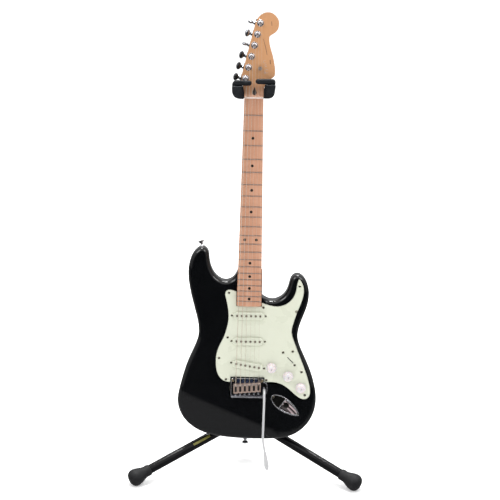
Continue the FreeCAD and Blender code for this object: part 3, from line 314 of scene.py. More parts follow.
jacket = finish_of("yoke_rubber", (0.006, 0.007, 0.009), (0.012, 0.014, 0.018), (0.5, 0.66), scale=70, fine=1600,
                   grain=0.4, specular_ior_level=0.22)
LEFT_LEDGE = [(-21.9, 1, 2), (-48.5, 1, 20), (-48.5, -27.3, 4), (-24.2, -27.3, 0.5), (-23.0, -17, 5), (-21.9, -8, 5)]
RIGHT_LEDGE = [(21.9, -1, 2), (44, -1, 14), (47.5, -31.3, 4), (24.0, -31.3, 0.5), (22.6, -22, 5), (21.9, -12, 5)]
LEFT_ARM = [(-21.9, 1, 2), (-48.5, 1, 20), (-48.5, -38, 9), (-29.6, -38, 2), (-27, -27, 4), (-23.4, -14, 6)]
RIGHT_ARM = [(21.9, -2, 2), (44, -2, 14), (47.5, -43.5, 9), (37.8, -43.5, 3), (30.2, -35.8, 4),
             (24.5, -26.7, 5), (21.9, -15, 5)]
BRIDGE = [(44.5, 0, 16), (-47, 0, 16), (-48, -23, 5), (46.5, -23, 5)]
LEFT_ARM_DEPTHS = (-11.2, 44.8)
RIGHT_ARM_DEPTHS = (-11.3, 44.7)
LEDGE_DEPTHS = (-26.2, -9.5)
BRIDGE_DEPTHS = (30.8, 44.2)
GATE_DEPTHS = (-24.5, -11.7)
GATE_PIVOT = 39.5
GATE_RADII = (5.75, 6.3)
GATE_RIM = 4.2


def eased_corners(corners, steps=7):
    """Closed (side, down) loop of a polygon given as (side, down, radius): each corner becomes the quadratic
    curve (1-t)^2 a + 2 t (1-t) c + t^2 b between points a and b on its two edges."""
    corners = np.asarray(corners, float)
    loop = []
    t = np.linspace(0, 1, steps)[:, None]
    for number, (x, y, radius) in enumerate(corners):
        corner = np.array([x, y])
        ends = []
        for neighbour in (corners[number - 1], corners[(number + 1) % len(corners)]):
            edge = neighbour[:2] - corner
            length = np.linalg.norm(edge)
            ends.append(corner + edge * min(radius / length, 0.75))
        loop.append((1 - t) ** 2 * ends[0] + 2 * t * (1 - t) * corner + t ** 2 * ends[1])
    return np.concatenate(loop)


def inward(loop):
    """Unit normals of a closed loop of (side, down) points, towards its inside."""
    ahead = np.roll(loop, -1, axis=0) - np.roll(loop, 1, axis=0)
    normal = np.stack([ahead[:, 1], -ahead[:, 0]], axis=1)
    normal /= np.linalg.norm(normal, axis=1)[:, None]
    x, y = loop[:, 0], loop[:, 1]
    turning = np.sum(x * np.roll(y, -1) - np.roll(x, -1) * y)
    return -normal if turning > 0 else normal


def slab(name, loop, front, back, rim, steps=6):
    """Plate between two depths with rounded rims: towards each face the loop is drawn in by rim (1 - cos t)
    while the depth reaches the face by rim (1 - sin t), a quarter circle; a flat ring borders each cap."""
    loop = np.asarray(loop, float)
    into = inward(loop)
    turn = np.linspace(0, math.pi / 2, steps)
    drawn = np.append(rim * (1 - np.cos(turn)), rim * 1.12)
    fall = np.append(rim * (1 - np.sin(turn)), 0.0)
    rows = [(front + f, d) for f, d in zip(fall, drawn)][::-1] + [(back - f, d) for f, d in zip(fall, drawn)]
    return closed_rows(name, [at_depth(loop + into * d, depth) for depth, d in rows])


def joined(name, parts):
    """One piece that holds several closed parts side by side."""
    points, faces, total = [], [], 0
    for part in parts:
        points += [tuple(corner.co) for corner in part.data.vertices]
        faces += [[corner + total for corner in face.vertices] for face in part.data.polygons]
        total = len(points)
        bpy.data.objects.remove(part)
    return mesh_piece(name, points, faces)


def finger(name, hub, tip, level):
    """Tapered bar with two round ends: the outline of two circles and their outer tangents, as a slab."""
    angle = np.linspace(0, math.pi, 16)
    side = 1 if tip > hub else -1
    ends = [np.stack([x + side * r * way * np.sin(angle), level + r * np.cos(angle) * way], 1)
            for x, r, way in zip((tip, hub), GATE_RADII, (1, -1))]
    return slab(name, np.concatenate(ends), *GATE_DEPTHS, GATE_RIM, 7)


cradle = joined("jacketed_cradle", [
    slab("block", eased_corners(corners), *depths, rim)
    for corners, depths, rim in ((LEFT_ARM, LEFT_ARM_DEPTHS, 2.5), (LEFT_LEDGE, LEDGE_DEPTHS, 2.6),
                                 (RIGHT_ARM, RIGHT_ARM_DEPTHS, 2.5), (RIGHT_LEDGE, LEDGE_DEPTHS, 2.6),
                                 (BRIDGE, BRIDGE_DEPTHS, 2.5))])
left_finger = finger("left_finger", -GATE_PIVOT, -11.0, -33.8)
right_finger = finger("right_finger", GATE_PIVOT, 8.6, -37.8)
for piece, body, node in ((cradle, "cradle", "yoke_cradle"), (left_finger, "left_gate", "gate_left"),
                          (right_finger, "right_gate", "gate_right")):
    dressed(piece, jacket, body, node)

# ---------------- rubber feet
# Bulbs of solid rubber pushed over the leg ends, with a small collar.
# Where a bulb would go under the floor it is pressed flat.

foot_rubber = finish_of("foot_rubber", (0.007, 0.007, 0.008), (0.014, 0.014, 0.015), (0.5, 0.66), scale=45, fine=1300,
                        grain=0.4, specular_ior_level=0.25)
FOOT_PROFILE = [(266, 9.0), (266, 11.2), (267.5, 12.6), (272, 13.2), (277, 12.9), (280, 13.2), (285, 14.6), (291, 16.8),
                (297, 18.7), (303, 19.7), (308, 19.4), (313, 17.4), (316.6, 13.9), (319, 8.9), (319.9, 4), (320, 0)]
for name, azimuth in LEG_AZIMUTHS.items():
    foot = turned(name + "_rubber_foot", FOOT_PROFILE, LEG_START, leg_way(azimuth), 56, sharp=50)
    for corner in foot.data.vertices:
        corner.co.z = max(corner.co.z, 0.0)
    dressed(foot, foot_rubber, name + "_leg", "foot_" + name)

# ---------------- backrest sleeves
# Closed-cell foam tube, cut to length and pushed on to each end of the backrest bar, a little crowned between its
# rounded ends. It is soft, with a dull open skin.

foam = finish_of("foam_sleeve", (0.015, 0.015, 0.016), (0.034, 0.034, 0.036), (0.8, 0.95), scale=220, fine=1500,
                 grain=0.9)
SLEEVE_PROFILE = [(44, 0), (44, 6.05), (0, 6.05), (0, 9.6), (0.3, 10.5), (1.0, 11.2), (2.2, 11.6), (8, 11.85),
                  (17, 11.98), (25, 12), (33, 11.98), (42, 11.85), (46.4, 11.6), (48.4, 10.9), (49.6, 9.7),
                  (50, 8), (50, 0)]
SLEEVE_START = (0.052, -0.09504, 0.20812)
sleeves = [turned("sleeve", SLEEVE_PROFILE, (side * SLEEVE_START[0], *SLEEVE_START[1:]), (side, 0, 0), sharp=60)
           for side in (-1.0, 1.0)]
foam_sleeves = dressed(joined("foam_sleeves", sleeves), foam, "stand", "backrest_pads")

# ---------------- guitar body
# Two or three boards of light wood glued edge to edge, shaped, sealed and sprayed in gloss black lacquer.
# The rims are rounded over, the bass side's lower corner is sloped for the forearm and the back is scooped.

BODY_THICK = 44.5
ROUND_OVER = 11.0
SQUARE_EDGE = 0.8
FOREARM_START = (-158.0, 664.0)
FOREARM_TURN = math.radians(25.2)
FOREARM_SLOPE = math.tan(math.radians(10.0))
CREASE = 2.0
BELLY_RADIUS = 150.0
BELLY_START = (-12.0, 508.0)
BELLY_TURN = 0.12
BELLY_RISE = 0.19
BELLY_CLEAR = 3
BELLY_CREASE = 2.0
POCKET_CORNERS = ((-27.5, 389.0), (29.0, 389.0))
OUTLINE_POINTS = 460
RIM_STEPS = 9
EASING_LENGTH = 16.0
LACQUER_BLACK = (0.0022, 0.0025, 0.003)

BODY_LINE = [(29.0, 447), (51, 454.5), (78, 443), (90.5, 416), (96.5, 400), (108, 393.5), (120.5, 398.5),
             (129.5, 410), (136.3, 437), (128.8, 479), (113.3, 536), (132.3, 592), (154.3, 649), (159.8, 692),
             (147.8, 735), (113, 770), (60, 783.5), (-2, 786), (-62, 783), (-113, 769), (-147, 739),
             (-160.2, 699), (-153.7, 656), (-135.7, 598), (-114, 535), (-121.7, 485), (-135.7, 429),
             (-139.5, 390), (-134, 360), (-122.5, 342), (-108, 335), (-96.5, 342.5), (-92.5, 360), (-86, 386),
             (-69, 407), (-52, 411.5), (-37, 404), (-27.5, 389)]


def smooth_line(points, count):
    """Natural cubic spline through the points, with chord lengths as its parameter: the second
    derivatives solve one linear system, and count places are read evenly along it."""
    points = np.asarray(points, float)
    step = np.linalg.norm(np.diff(points, axis=0), axis=1)
    at = np.concatenate([[0.0], np.cumsum(step)])
    size = len(points)
    system = np.eye(size)
    inner = np.arange(1, size - 1)
    system[inner, inner - 1] = step[:-1]
    system[inner, inner] = 2 * (step[:-1] + step[1:])
    system[inner, inner + 1] = step[1:]
    right = np.zeros_like(points)
    slopes = np.diff(points, axis=0) / step[:, None]
    right[1:-1] = 6 * np.diff(slopes, axis=0)
    bend = np.linalg.solve(system, right)
    place = np.linspace(0.0, at[-1], count)
    span = np.clip(np.searchsorted(at, place) - 1, 0, size - 2)
    h = step[span][:, None]
    a = (at[span + 1] - place)[:, None] / h
    b = 1.0 - a
    return (a * points[span] + b * points[span + 1]
            + ((a ** 3 - a) * bend[span] + (b ** 3 - b) * bend[span + 1]) * h ** 2 / 6)


def filled(loop, spacing=9.0):
    """Triangles that fill a closed loop, with extra points on a square grid inside it."""
    low, high = loop.min(axis=0), loop.max(axis=0)
    grid = np.stack(np.meshgrid(np.arange(low[0], high[0], spacing), np.arange(low[1], high[1], spacing)), -1)
    points = np.concatenate([loop, grid.reshape(-1, 2)])
    rim = list(range(len(loop)))
    found = geometry.delaunay_2d_cdt([Vector(p) for p in points], [], [rim], 1, 1e-4)
    return np.array([tuple(p) for p in found[0]]), [list(face) for face in found[2]]


def forearm_depth(side, down):
    """How far the face lies below flat: a slope past a slanting line, with a slightly rounded crease."""
    past = (-(side - FOREARM_START[0]) * math.sin(FOREARM_TURN)
            + (down - FOREARM_START[1]) * math.cos(FOREARM_TURN))
    return FOREARM_SLOPE * (past + np.sqrt(past ** 2 + CREASE ** 2)) / 2


def belly_depth(side, down):
    """How far the back is scooped: a large cylinder that sinks in towards the bass side."""
    along = -(side - BELLY_START[0])
    across = BELLY_START[1] - down - BELLY_TURN * along
    inside = np.sqrt(np.maximum(BELLY_RADIUS ** 2 - across ** 2, 0.0))
    depth = inside - (BELLY_RADIUS + BELLY_CLEAR - BELLY_RISE * along)
    return np.where(along > 0, (depth + np.sqrt(depth ** 2 + BELLY_CREASE ** 2)) / 2, 0.0)


def body_shell():
    """Rings that follow the outline: up the side wall, round the rim along a quarter circle, then the flat
    face filled with triangles. The face and the back are lowered by the forearm and belly functions."""
    line = smooth_line(BODY_LINE, OUTLINE_POINTS)
    ends = [np.linspace(a, b, 20)[1:-1] for a, b in ((line[-1], POCKET_CORNERS[1]), (POCKET_CORNERS[1], line[0]))]
    loop = np.concatenate([line, ends[0], [POCKET_CORNERS[1]], ends[1]])
    into = inward(loop)
    near = np.minimum.reduce([np.linalg.norm(loop - np.array(c), axis=1) for c in (line[-1], line[0])])
    straight = np.zeros(len(loop), bool)
    straight[len(line):] = True
    eased = np.clip(near / EASING_LENGTH, 0, 1)
    radius = np.where(straight, SQUARE_EDGE, SQUARE_EDGE + (ROUND_OVER - SQUARE_EDGE) * eased ** 2 * (3 - 2 * eased))
    points, faces = [], []
    total = 0
    for front in (True, False):
        rings = []
        for turn in np.linspace(0, math.pi / 2, RIM_STEPS):
            ring = loop + into * (radius * (1 - math.cos(turn)))[:, None]
            fall = radius * (1 - math.sin(turn))
            if front:
                depth = forearm_depth(*ring.T) + fall
            else:
                depth = BODY_THICK - belly_depth(*ring.T) - fall
            rings.append(at_depth(ring, depth))
        points.extend(rings)
        faces += strip_faces(len(rings), len(loop), start=total)
        total += len(rings) * len(loop)
        flat, triangles = filled(ring)
        depth = forearm_depth(*flat.T) if front else BODY_THICK - belly_depth(*flat.T)
        points.append(at_depth(flat, depth))
        faces += [[corner + total for corner in face] for face in triangles]
        total += len(flat)
    points += [points[0], points[RIM_STEPS + 1]]
    faces += strip_faces(2, len(loop), start=total)
    return mesh_piece("body_shell", np.concatenate(points), faces, sharp=None)


def solid_prism(name, loop, depth_low, depth_high):
    """Closed block: a loop of (side, down) points between two depths."""
    loop = np.asarray(loop, float)
    points = np.concatenate([at_depth(loop, depth) for depth in (depth_low, depth_high)])
    count = len(loop)
    faces = strip_faces(2, count) + [list(range(count)), list(range(count, 2 * count))]
    return weld(mesh_piece(name, points, faces))


def round_corners(side_low, side_high, down_low, down_high, radius, steps=6):
    """Loop of a rectangle with quarter-circle corners."""
    turn = np.linspace(0, math.pi / 2, steps)
    loop = []
    for number, (x, y) in enumerate(((side_high, down_high), (side_low, down_high),
                                     (side_low, down_low), (side_high, down_low))):
        centre = (x - radius * (1 if x == side_high else -1), y - radius * (1 if y == down_high else -1))
        angle = turn + number * math.pi / 2
        loop.append(np.stack([centre[0] + radius * np.cos(angle), centre[1] + radius * np.sin(angle)], 1))
    return np.concatenate(loop)


def cut_out(piece, tools):
    """Take closed tools away from a piece with exact booleans, and drop the tools."""
    for tool in tools:
        change = piece.modifiers.new("cut", "BOOLEAN")
        change.operation = "DIFFERENCE"
        change.solver = "EXACT"
        change.object = tool
        bpy.context.view_layer.update()
        graph = bpy.context.evaluated_depsgraph_get()
        mesh = bpy.data.meshes.new_from_object(piece.evaluated_get(graph))
        piece.modifiers.clear()
        piece.data = mesh
        bpy.data.objects.remove(tool)
    return piece


body = weld(body_shell(), 1e-5)
JACK_PLACE = (88.6, 700.0)
JACK_TILT = math.radians(35.0)
JACK_CUP = 3.0
jack_hole = (JACK_PLACE[0] + JACK_CUP * math.cos(JACK_TILT), JACK_PLACE[1] + JACK_CUP * math.sin(JACK_TILT))
JACK_BOAT = [(-39.5, 0), (-37, 4.6), (-31, 9.6), (-20, 14), (-6, 15.5), (9, 14.3), (22, 10.6), (32, 6), (37.4, 2.6),
             (39.2, 0)]
JACK_RECESS = [(-7.5, 0), (-7.5, 6), (-7.3, 11.2), (-5.6, 12), (2, 11.7), (12, 9.8), (22, 6.8), (30, 3.4), (32.6, 0)]


def closed_curve(points, steps=6):
    """Smooth closed loop through the points: a cubic between each pair whose slope at a point is half the
    step between its neighbours."""
    here = np.asarray(points, float)[:, None, :]
    before, after, beyond = (np.roll(here, shift, axis=0) for shift in (1, -1, -2))
    t = np.linspace(0, 1, steps, endpoint=False)[None, :, None]
    curve = (2 * here + (after - before) * t + (2 * before - 5 * here + 4 * after - beyond) * t ** 2
             + (3 * here - before - 3 * after + beyond) * t ** 3) / 2
    return curve.reshape(-1, 2)


def jack_loop(points, outset=0.0, centre=9.0, count=96):
    """Loop of (side, down) on the body from half a curve along and across the jack plate: its mirror image is
    added, and the whole is read at even angles."""
    curve = closed_curve(points + [(along, -across) for along, across in points[-2:0:-1]])
    curve = curve - inward(curve) * outset - np.array([centre, 0.0])
    angle = np.arctan2(curve[:, 1], curve[:, 0])
    order = np.argsort(angle)
    even = np.linspace(-math.pi, math.pi, count, endpoint=False)
    radius = np.interp(even, angle[order], np.linalg.norm(curve, axis=1)[order], period=2 * math.pi)
    along, across = radius * np.cos(even) + centre, radius * np.sin(even)
    c, n = math.cos(JACK_TILT), math.sin(JACK_TILT)
    return np.stack([JACK_PLACE[0] + along * c - across * n, JACK_PLACE[1] + along * n + across * c], 1)


ROUTS = [((-41, 41, 642, 682, 4), -4, BODY_THICK + 4), ((-34, 34, 575, 684, 6), BODY_THICK - 16, BODY_THICK + 4),
         ((-43, 43, 477, 627, 5), -4, 19), ((39, 118, 590, 650, 8), -4, 36)]
body = cut_out(body, [solid_prism("rout", round_corners(*box), low, high) for box, low, high in ROUTS]
               + [solid_prism("rout", jack_loop(JACK_RECESS, 0.6), -4, 30)])
body.data.set_sharp_from_angle(angle=math.radians(32))
body.name = "black_body"
lacquer = finish_of("gloss_black_lacquer", LACQUER_BLACK, (0.0035, 0.0038, 0.0045), (0.022, 0.050), scale=9,
                    specular_ior_level=0.5)
dressed(body, lacquer, "guitar", "guitar_body")

# ---------------- maple neck
# One piece of hard maple, with the frets pressed into its own face. The lacquer is tinted amber, more so on the
# headstock than on the fingerboard.

MAPLE_PALE = (0.60, 0.325, 0.215)
MAPLE_DEEP = (0.49, 0.24, 0.145)
MAPLE_LINE = (0.40, 0.18, 0.10)
HEAD_TINT = (0.545, 0.28, 0.12)


def measured(tree, way):
    """Socket with a point's distance along a unit direction, in metres: their dot product."""
    coords = add_node(tree, "TexCoord")
    product = add_node(tree, "VectorMath", {1: tuple(way)}, operation="DOT_PRODUCT")
    link(coords.outputs["Object"], product.inputs[0])
    return product.outputs["Value"]


def maple(name, pale, deep, line, rough):
    """Maple: long soft streaks along the neck, fine darker pores, and a little flame across."""
    material, tree, shader = new_material(name)
    streaks, fine_pores = mottled(tree, 95, 520, (1.0, 1.0, 0.035))
    cloud, _ = mottled(tree, 26, 260, (0.5, 0.5, 1.0))
    wide = mix_colour(tree, streaks, pale, deep)
    pores = map_range(tree, fine_pores, 0.0, 0.55, 0.55, 1.0)
    grained = mix_colour(tree, pores, wide, line)
    shade = map_range(tree, cloud, 0.0, 0.22)
    wood = mix_colour(tree, shade, grained, deep)
    nut_height = float(NUT @ UP)
    headed = map_range(tree, measured(tree, UP), 0.0, 0.74, nut_height - 0.004, nut_height + 0.045)
    link(mix_colour(tree, headed, wood, HEAD_TINT), shader.inputs["Base Color"])
    link(map_range(tree, streaks, *rough), shader.inputs["Roughness"])
    bumped(tree, shader, fine_pores, 0.08, 0.0003)
    shader.inputs["Coat Weight"].default_value = 0.25
    shader.inputs["Coat Roughness"].default_value = 0.2
    return material


neck_maple = maple("amber_maple", MAPLE_PALE, MAPLE_DEEP, MAPLE_LINE, (0.34, 0.48))
wear(frame["nodes"]["neck"], neck_maple)

# ---------------- headstock's plug and marks
# A walnut plug over the rod's end, and plain lines and curls where the maker's lettering would be.

plug_walnut = finish_of("walnut_plug", (0.018, 0.009, 0.006), (0.04, 0.02, 0.012), (0.3, 0.45), scale=200)
PLUG = [(1.2, -25), (3.4, -20), (5.8, -14.5), (5.4, -10.3), (1.2, -7.6), (-3.0, -10.3), (-3.4, -14.5), (-1.0, -20)]
SCOOP_DOWN = (-31.0, -22.0, -14.0, -7.5, -3.5)
SCOOP_DEPTH = (0.5, -0.2, -2.2, -5.2, -8.4)
MARK_INK = (0.16, 0.085, 0.05)
MARKS = [[(17.6, -130), (18.4, -130), (24, -112), (27.4, -96), (26.4, -96), (22.6, -112)],
         [(34.4, -168), (35.6, -168), (36.6, -159), (35.2, -159)],
         [(33, -85), (34.6, -85), (35.4, -76), (33.6, -76)]]
SWIRLS = [(22.5, -81, 3.6), (25.0, -72.5, 2.6), (26.5, -60.5, 4.4), (23.6, -56.5, 2.4)]


def head_depth(down):
    """Depth of the headstock's face: flat, then curving forward in the scoop above the nut."""
    return np.interp(-np.asarray(down), -np.array(SCOOP_DOWN[::-1]), SCOOP_DEPTH[::-1])


def inlay(name, loop, lift=0.2):
    """Patch let into the headstock: a loop shrunk towards its middle in rings that follow the face."""
    middle = loop.mean(axis=0)
    rings = [middle + (loop - middle) * f for f in (1.0, 0.75, 0.5, 0.25, 0.02)]
    rows = [at_depth(rings[0], head_depth(rings[0][:, 1]) + 1.2)]
    rows += [at_depth(ring, head_depth(ring[:, 1]) - lift) for ring in rings]
    return closed_rows(name, rows)


def curl(side, down, radius):
    """Thin open hoop: a circle's ring with a gap, as one closed band outline."""
    angle = np.linspace(0.5, 5.4, 26)
    outer = [side, down] + radius * np.stack([np.cos(angle), np.sin(angle)], 1)
    inner = [side, down] + (radius - 0.75) * np.stack([np.cos(angle), np.sin(angle)], 1)
    return np.concatenate([outer, inner[::-1]])


dressed(inlay("truss_plug", closed_curve(PLUG)), plug_walnut, "guitar")
mark_ink = finish_of("faded_brown_mark", MARK_INK, (0.22, 0.12, 0.07), (0.4, 0.5), scale=300)
mark_pale = finish_of("faded_grey_mark", (0.42, 0.33, 0.28), (0.5, 0.42, 0.38), (0.35, 0.45), scale=300)
dressed(joined("plain_marks", [slab("mark", np.array(loop, float), 0.35, 0.6, 0.02) for loop in MARKS]), mark_ink,
        "guitar")
dressed(joined("plain_curls", [slab("curl", curl(*swirl), 0.35, 0.6, 0.02) for swirl in SWIRLS]), mark_pale,
        "guitar")

# ---------------- frets, dots, nut and plain steel parts
# Nickel-silver wire, black dots let into the wood, a bone nut, and bare steel for the rod and for what is under
# the front plate and the back cover.

# The frets' dull brown is painted shade and dark reflection, not the wire's own colour.
coated("frets", "fret_nickel_painted_shade", (0.27, 0.19, 0.155), (0.36, 0.26, 0.215), (0.35, 0.5), metallic=0.35, scale=400)
coated("fret_markers", "black_dots", (0.008, 0.007, 0.006), (0.02, 0.016, 0.012), (0.35, 0.5), scale=500)
coated("nut", "bone_nut", (0.62, 0.47, 0.41), (0.78, 0.66, 0.60), (0.3, 0.45), scale=700, subsurface_weight=0.1,
       subsurface_scale=0.002)
coated("truss_rod pots switch_frame switch_lever jack_socket trem_block trem_anchors trem_springs", "plain_steel",
       (0.28, 0.28, 0.29), (0.45, 0.45, 0.46), (0.3, 0.5), metallic=1.0, scale=150)

# ---------------- tuners, string tree, buttons and neck plate
# Die-cast zinc and brass, polished and chromed; the posts glow faintly with painted light. What the keys mirror
# is painted on, three keys dark and three grey, and four of them are turned broad side to the front.

coated("tuner_housings strap_buttons neck_plate", "chrome", (0.72, 0.72, 0.74), (0.84, 0.84, 0.86), (0.06, 0.14),
       metallic=1.0, scale=120)
coated("string_tree", "worn_string_tree", (0.30, 0.24, 0.20), (0.42, 0.36, 0.32), (0.35, 0.5), metallic=0.6, scale=300)
# Painted light: this chrome also glows faintly, though the posts are no lamp.
post_chrome_painted_glow = finish_of("post_chrome_with_painted_glow", (0.86, 0.84, 0.87), (0.95, 0.94, 0.96), (0.08, 0.16), metallic=1.0,
                          scale=150, emission_color=(0.75, 0.72, 0.78, 1.0), emission_strength=0.10)
POST_PROFILE = [(-14, 2.9), (-0.8, 2.9), (-0.8, 7.4), (0.0, 7.6), (0.7, 7.0), (2.2, 4.6), (3.0, 3.5), (6.0, 2.6),
                (8.6, 3.0), (10.6, 3.2), (11.2, 2.9), (11.4, 1.7), (10.4, 1.2), (9.6, 0)]
POST_SUNK = 0.5
BROAD_KEYS = (1, 2, 3, 5)
BROAD_RADII = (5.2, 8.4, 3.6)
NARROW_RADII = (5.2, 3.4, 8.2)
BUTTON_OUT = 7.2
# Painted reflection: the same chrome keys in a dark copy and a grey copy, for the dark and light they mirror.
key_painted_dark_reflection = finish_of("key_chrome_painted_dark", (0.02, 0.02, 0.023), (0.07, 0.07, 0.075), (0.12, 0.22), metallic=0.7, scale=320)
key_painted_grey_reflection = finish_of("key_chrome_painted_grey", (0.16, 0.165, 0.18), (0.36, 0.37, 0.40), (0.12, 0.22), metallic=0.9, scale=420)


def oval(name, centre, axes, radii, rows=14, columns=32):
    """Ellipsoid round centre: three unit axes with their half lengths in millimetres."""
    fall = np.linspace(0, math.pi, rows)[:, None, None]
    angle = np.linspace(0, 2 * math.pi, columns, endpoint=False)[None, :, None]
    a, b, c = (np.asarray(axis) * radius * MM for axis, radius in zip(axes, radii))
    reach = np.maximum(np.sin(fall), 0.002)
    skin = centre + np.cos(fall) * a + reach * (np.cos(angle) * b + np.sin(angle) * c)
    return closed_rows(name, skin)


for number in range(1, 7):
    post, key = (joint_of[kind % number] for kind in ("post_%d_turn", "key_%d_turn"))
    place = np.array(post["pos_m"])
    place = place - BACK * ((place - NUT) @ BACK) + BACK * POST_SUNK * MM
    dressed(turned("post_%d_bushing" % number, POST_PROFILE, place, -BACK, 40, flutes=7, depth=0.035), post_chrome_painted_glow,
            "post_%d" % number)
    wear(frame["nodes"]["tuner_post_%d" % number], post_chrome_painted_glow)
    key_painted_reflection = key_painted_dark_reflection if number < 4 else key_painted_grey_reflection
    wear(frame["nodes"]["tuner_key_%d" % number], key_painted_reflection)
    way = np.array(key["axis"])
    way = way * (1 if way @ RIGHT < 0 else -1)
    button = oval("key_%d_button" % number, np.array(key["pos_m"]) + way * BUTTON_OUT * MM,
                  (way, np.cross(way, BACK), BACK), BROAD_RADII if number in BROAD_KEYS else NARROW_RADII)
    dressed(button, key_painted_reflection, "key_%d" % number)

# ---------------- strings
# Nickel-plated steel, three plain and three wound.
# They are dulled by playing, so they mirror little.

coated("strings", "string_steel", (0.42, 0.35, 0.28), (0.58, 0.51, 0.42), (0.4, 0.5), metallic=0.1, scale=900)

# ---------------- front plate
# Three-ply sheet, mint over black over mint, routed with a sloping edge so that the black layer shows as a
# thin line. The selector moves in a slanting slot.

mint = coated("back_cover", "mint_plastic", (0.585, 0.605, 0.495), (0.605, 0.625, 0.515), (0.24, 0.34), scale=30,
              fine=500)
GUARD_LINES = [
    [(-28.5, 434.5), (-40, 431), (-49, 431.5), (-54, 437), (-53, 450), (-48.5, 470), (-46, 495), (-49, 517), (-56, 540),
     (-66, 562), (-72.5, 585), (-73, 605), (-67, 630), (-55, 643), (-38.6, 647)],
    [(-38.6, 647), (-38.6, 634)],
    [(-38.6, 634), (39.1, 634)],
    [(39.1, 634), (39.1, 645.5)],
    [(39.1, 645.5), (62, 645), (82, 651), (100, 664), (118, 679), (132, 683.5), (142, 678), (145, 664), (142, 645),
     (131, 612), (118, 580), (104, 545), (99, 527), (102, 507), (111, 478), (121, 450), (124, 430), (119, 411),
     (112.5, 403.5), (109, 411), (106, 430), (97, 450), (82, 462.5), (64, 467), (44, 464), (28.8, 459)],
    [(28.8, 459), (28.8, 467.6)],
    [(28.8, 467.6), (-28.5, 467.6)],
    [(-28.5, 467.6), (-28.5, 434.5)]]
PLIES = [("lower_ply", -0.9, 0.0, 0.0, 0.1), ("middle_ply", -1.5, -0.9, 0.35, 0.05),
         ("upper_ply", -2.2, -1.5, 0.7, 0.25)]
SWITCH_SLOT = ((90.5, 585.0), (104.5, 598.5))


def guard_loop(inset):
    """Outline of the plate, every run smooth and every join crisp, drawn in by an inset."""
    runs = [smooth_line(run, 4 + 6 * len(run)) if len(run) > 2 else np.linspace(*np.array(run, float), 8)
            for run in GUARD_LINES]
    loop = np.concatenate([run[:-1] for run in runs])
    return loop + inward(loop) * inset


def ply(name, front, back, inset, rim):
    """One sheet of the plate: outline rings joined to faces filled with small triangles."""
    points = []
    loop = guard_loop(inset)
    for depth, drawn in ((back, 0.0), (front + rim, 0.0), (front + rim * 0.3, rim * 0.3), (front, rim)):
        ring = loop + inward(loop) * drawn
        points.append(at_depth(ring, depth))
    faces = strip_faces(len(points), len(loop))
    total = len(points) * len(loop)
    for depth, edge in ((front, ring), (back, loop)):
        flat, triangles = filled(edge, 6.0)
        points.append(at_depth(flat, depth))
        faces += [[corner + total for corner in face] for face in triangles]
        total += len(flat)
    return weld(mesh_piece(name, np.concatenate(points), faces, None))


def tilted(loop, side, down, turn):
    """A loop turned by an angle and moved to (side, down)."""
    c, n = math.cos(turn), math.sin(turn)
    return np.stack([side + loop[:, 0] * c - loop[:, 1] * n, down + loop[:, 0] * n + loop[:, 1] * c], 1)


guard_black = finish_of("black_ply", (0.01, 0.01, 0.01), (0.02, 0.02, 0.02), (0.4, 0.5))
(slot_x, slot_s), (slot_end_x, slot_end_s) = SWITCH_SLOT
slot_turn = math.atan2(slot_end_s - slot_s, slot_end_x - slot_x)
slot_length = math.hypot(slot_end_x - slot_x, slot_end_s - slot_s)
for number, (name, front, back, inset, rim) in enumerate(PLIES):
    sheet = ply(name, front, back, inset, rim)
    slot = tilted(round_corners(-slot_length / 2, slot_length / 2, -0.9, 0.9, 0.6, 3), (slot_x + slot_end_x) / 2,
                  (slot_s + slot_end_s) / 2, slot_turn)
    sheet = cut_out(sheet, [solid_prism("slot", slot, -6, 4)])
    sheet.data.set_sharp_from_angle(angle=math.radians(25))
    dressed(sheet, guard_black if name == "middle_ply" else mint, "guitar",
            "pickguard" if number == 0 else None)

# ---------------- pickups and screws
# Mint covers with six steel pole ends each, over coils on a fibre former.
# The screws that hold them and the plate are plated.

PICKUPS = [(490.0, 0.0), (549.5, 0.0), (606.5, math.radians(9.0))]
COVER = (35.0, 9.0)
COVER_TOP = -5.9
POLE_PITCH = 10.5
covers = []
for down, turn in PICKUPS:
    outline = tilted(round_corners(-COVER[0], COVER[0], -COVER[1], COVER[1], 8.6, 10), 0, down, turn)
    covers.append(slab("cover", outline, COVER_TOP, 0, 0.8))
cover_mint = finish_of("mint_covers", (0.58, 0.60, 0.49), (0.60, 0.62, 0.51), (0.3, 0.4), scale=30, fine=500)
dressed(joined("rounded_covers", covers), cover_mint, "guitar", "pickup_covers")
pole_steel = finish_of("pole_pieces", (0.16, 0.14, 0.12), (0.26, 0.23, 0.21), (0.3, 0.5), metallic=0.8, scale=300)
poles = []
for down, turn in PICKUPS:
    for number in range(6):
        spot = tilted(np.array([[(number - 2.5) * POLE_PITCH, 0.0]]), 0, down, turn)[0]
        poles.append(turned("pole", [(0, 2.3), (1.0, 2.3), (1.25, 1.9), (1.3, 0)],
                            on_guitar(spot[0], COVER_TOP + 0.3, spot[1]), -BACK, 20))
dressed(joined("pole_ends", poles), pole_steel, "guitar")
coated("pickup_cores", "coil_fibre", (0.05, 0.04, 0.03), (0.12, 0.09, 0.06), (0.5, 0.7), scale=300)
coated("guitar_screws", "plated_screws", (0.20, 0.18, 0.14), (0.34, 0.31, 0.26), (0.2, 0.4), metallic=1.0, scale=300)

# ---------------- knobs
# Injection-moulded in a slightly pink white, fluted round the side.
# Each has a short grey pointer line on top.

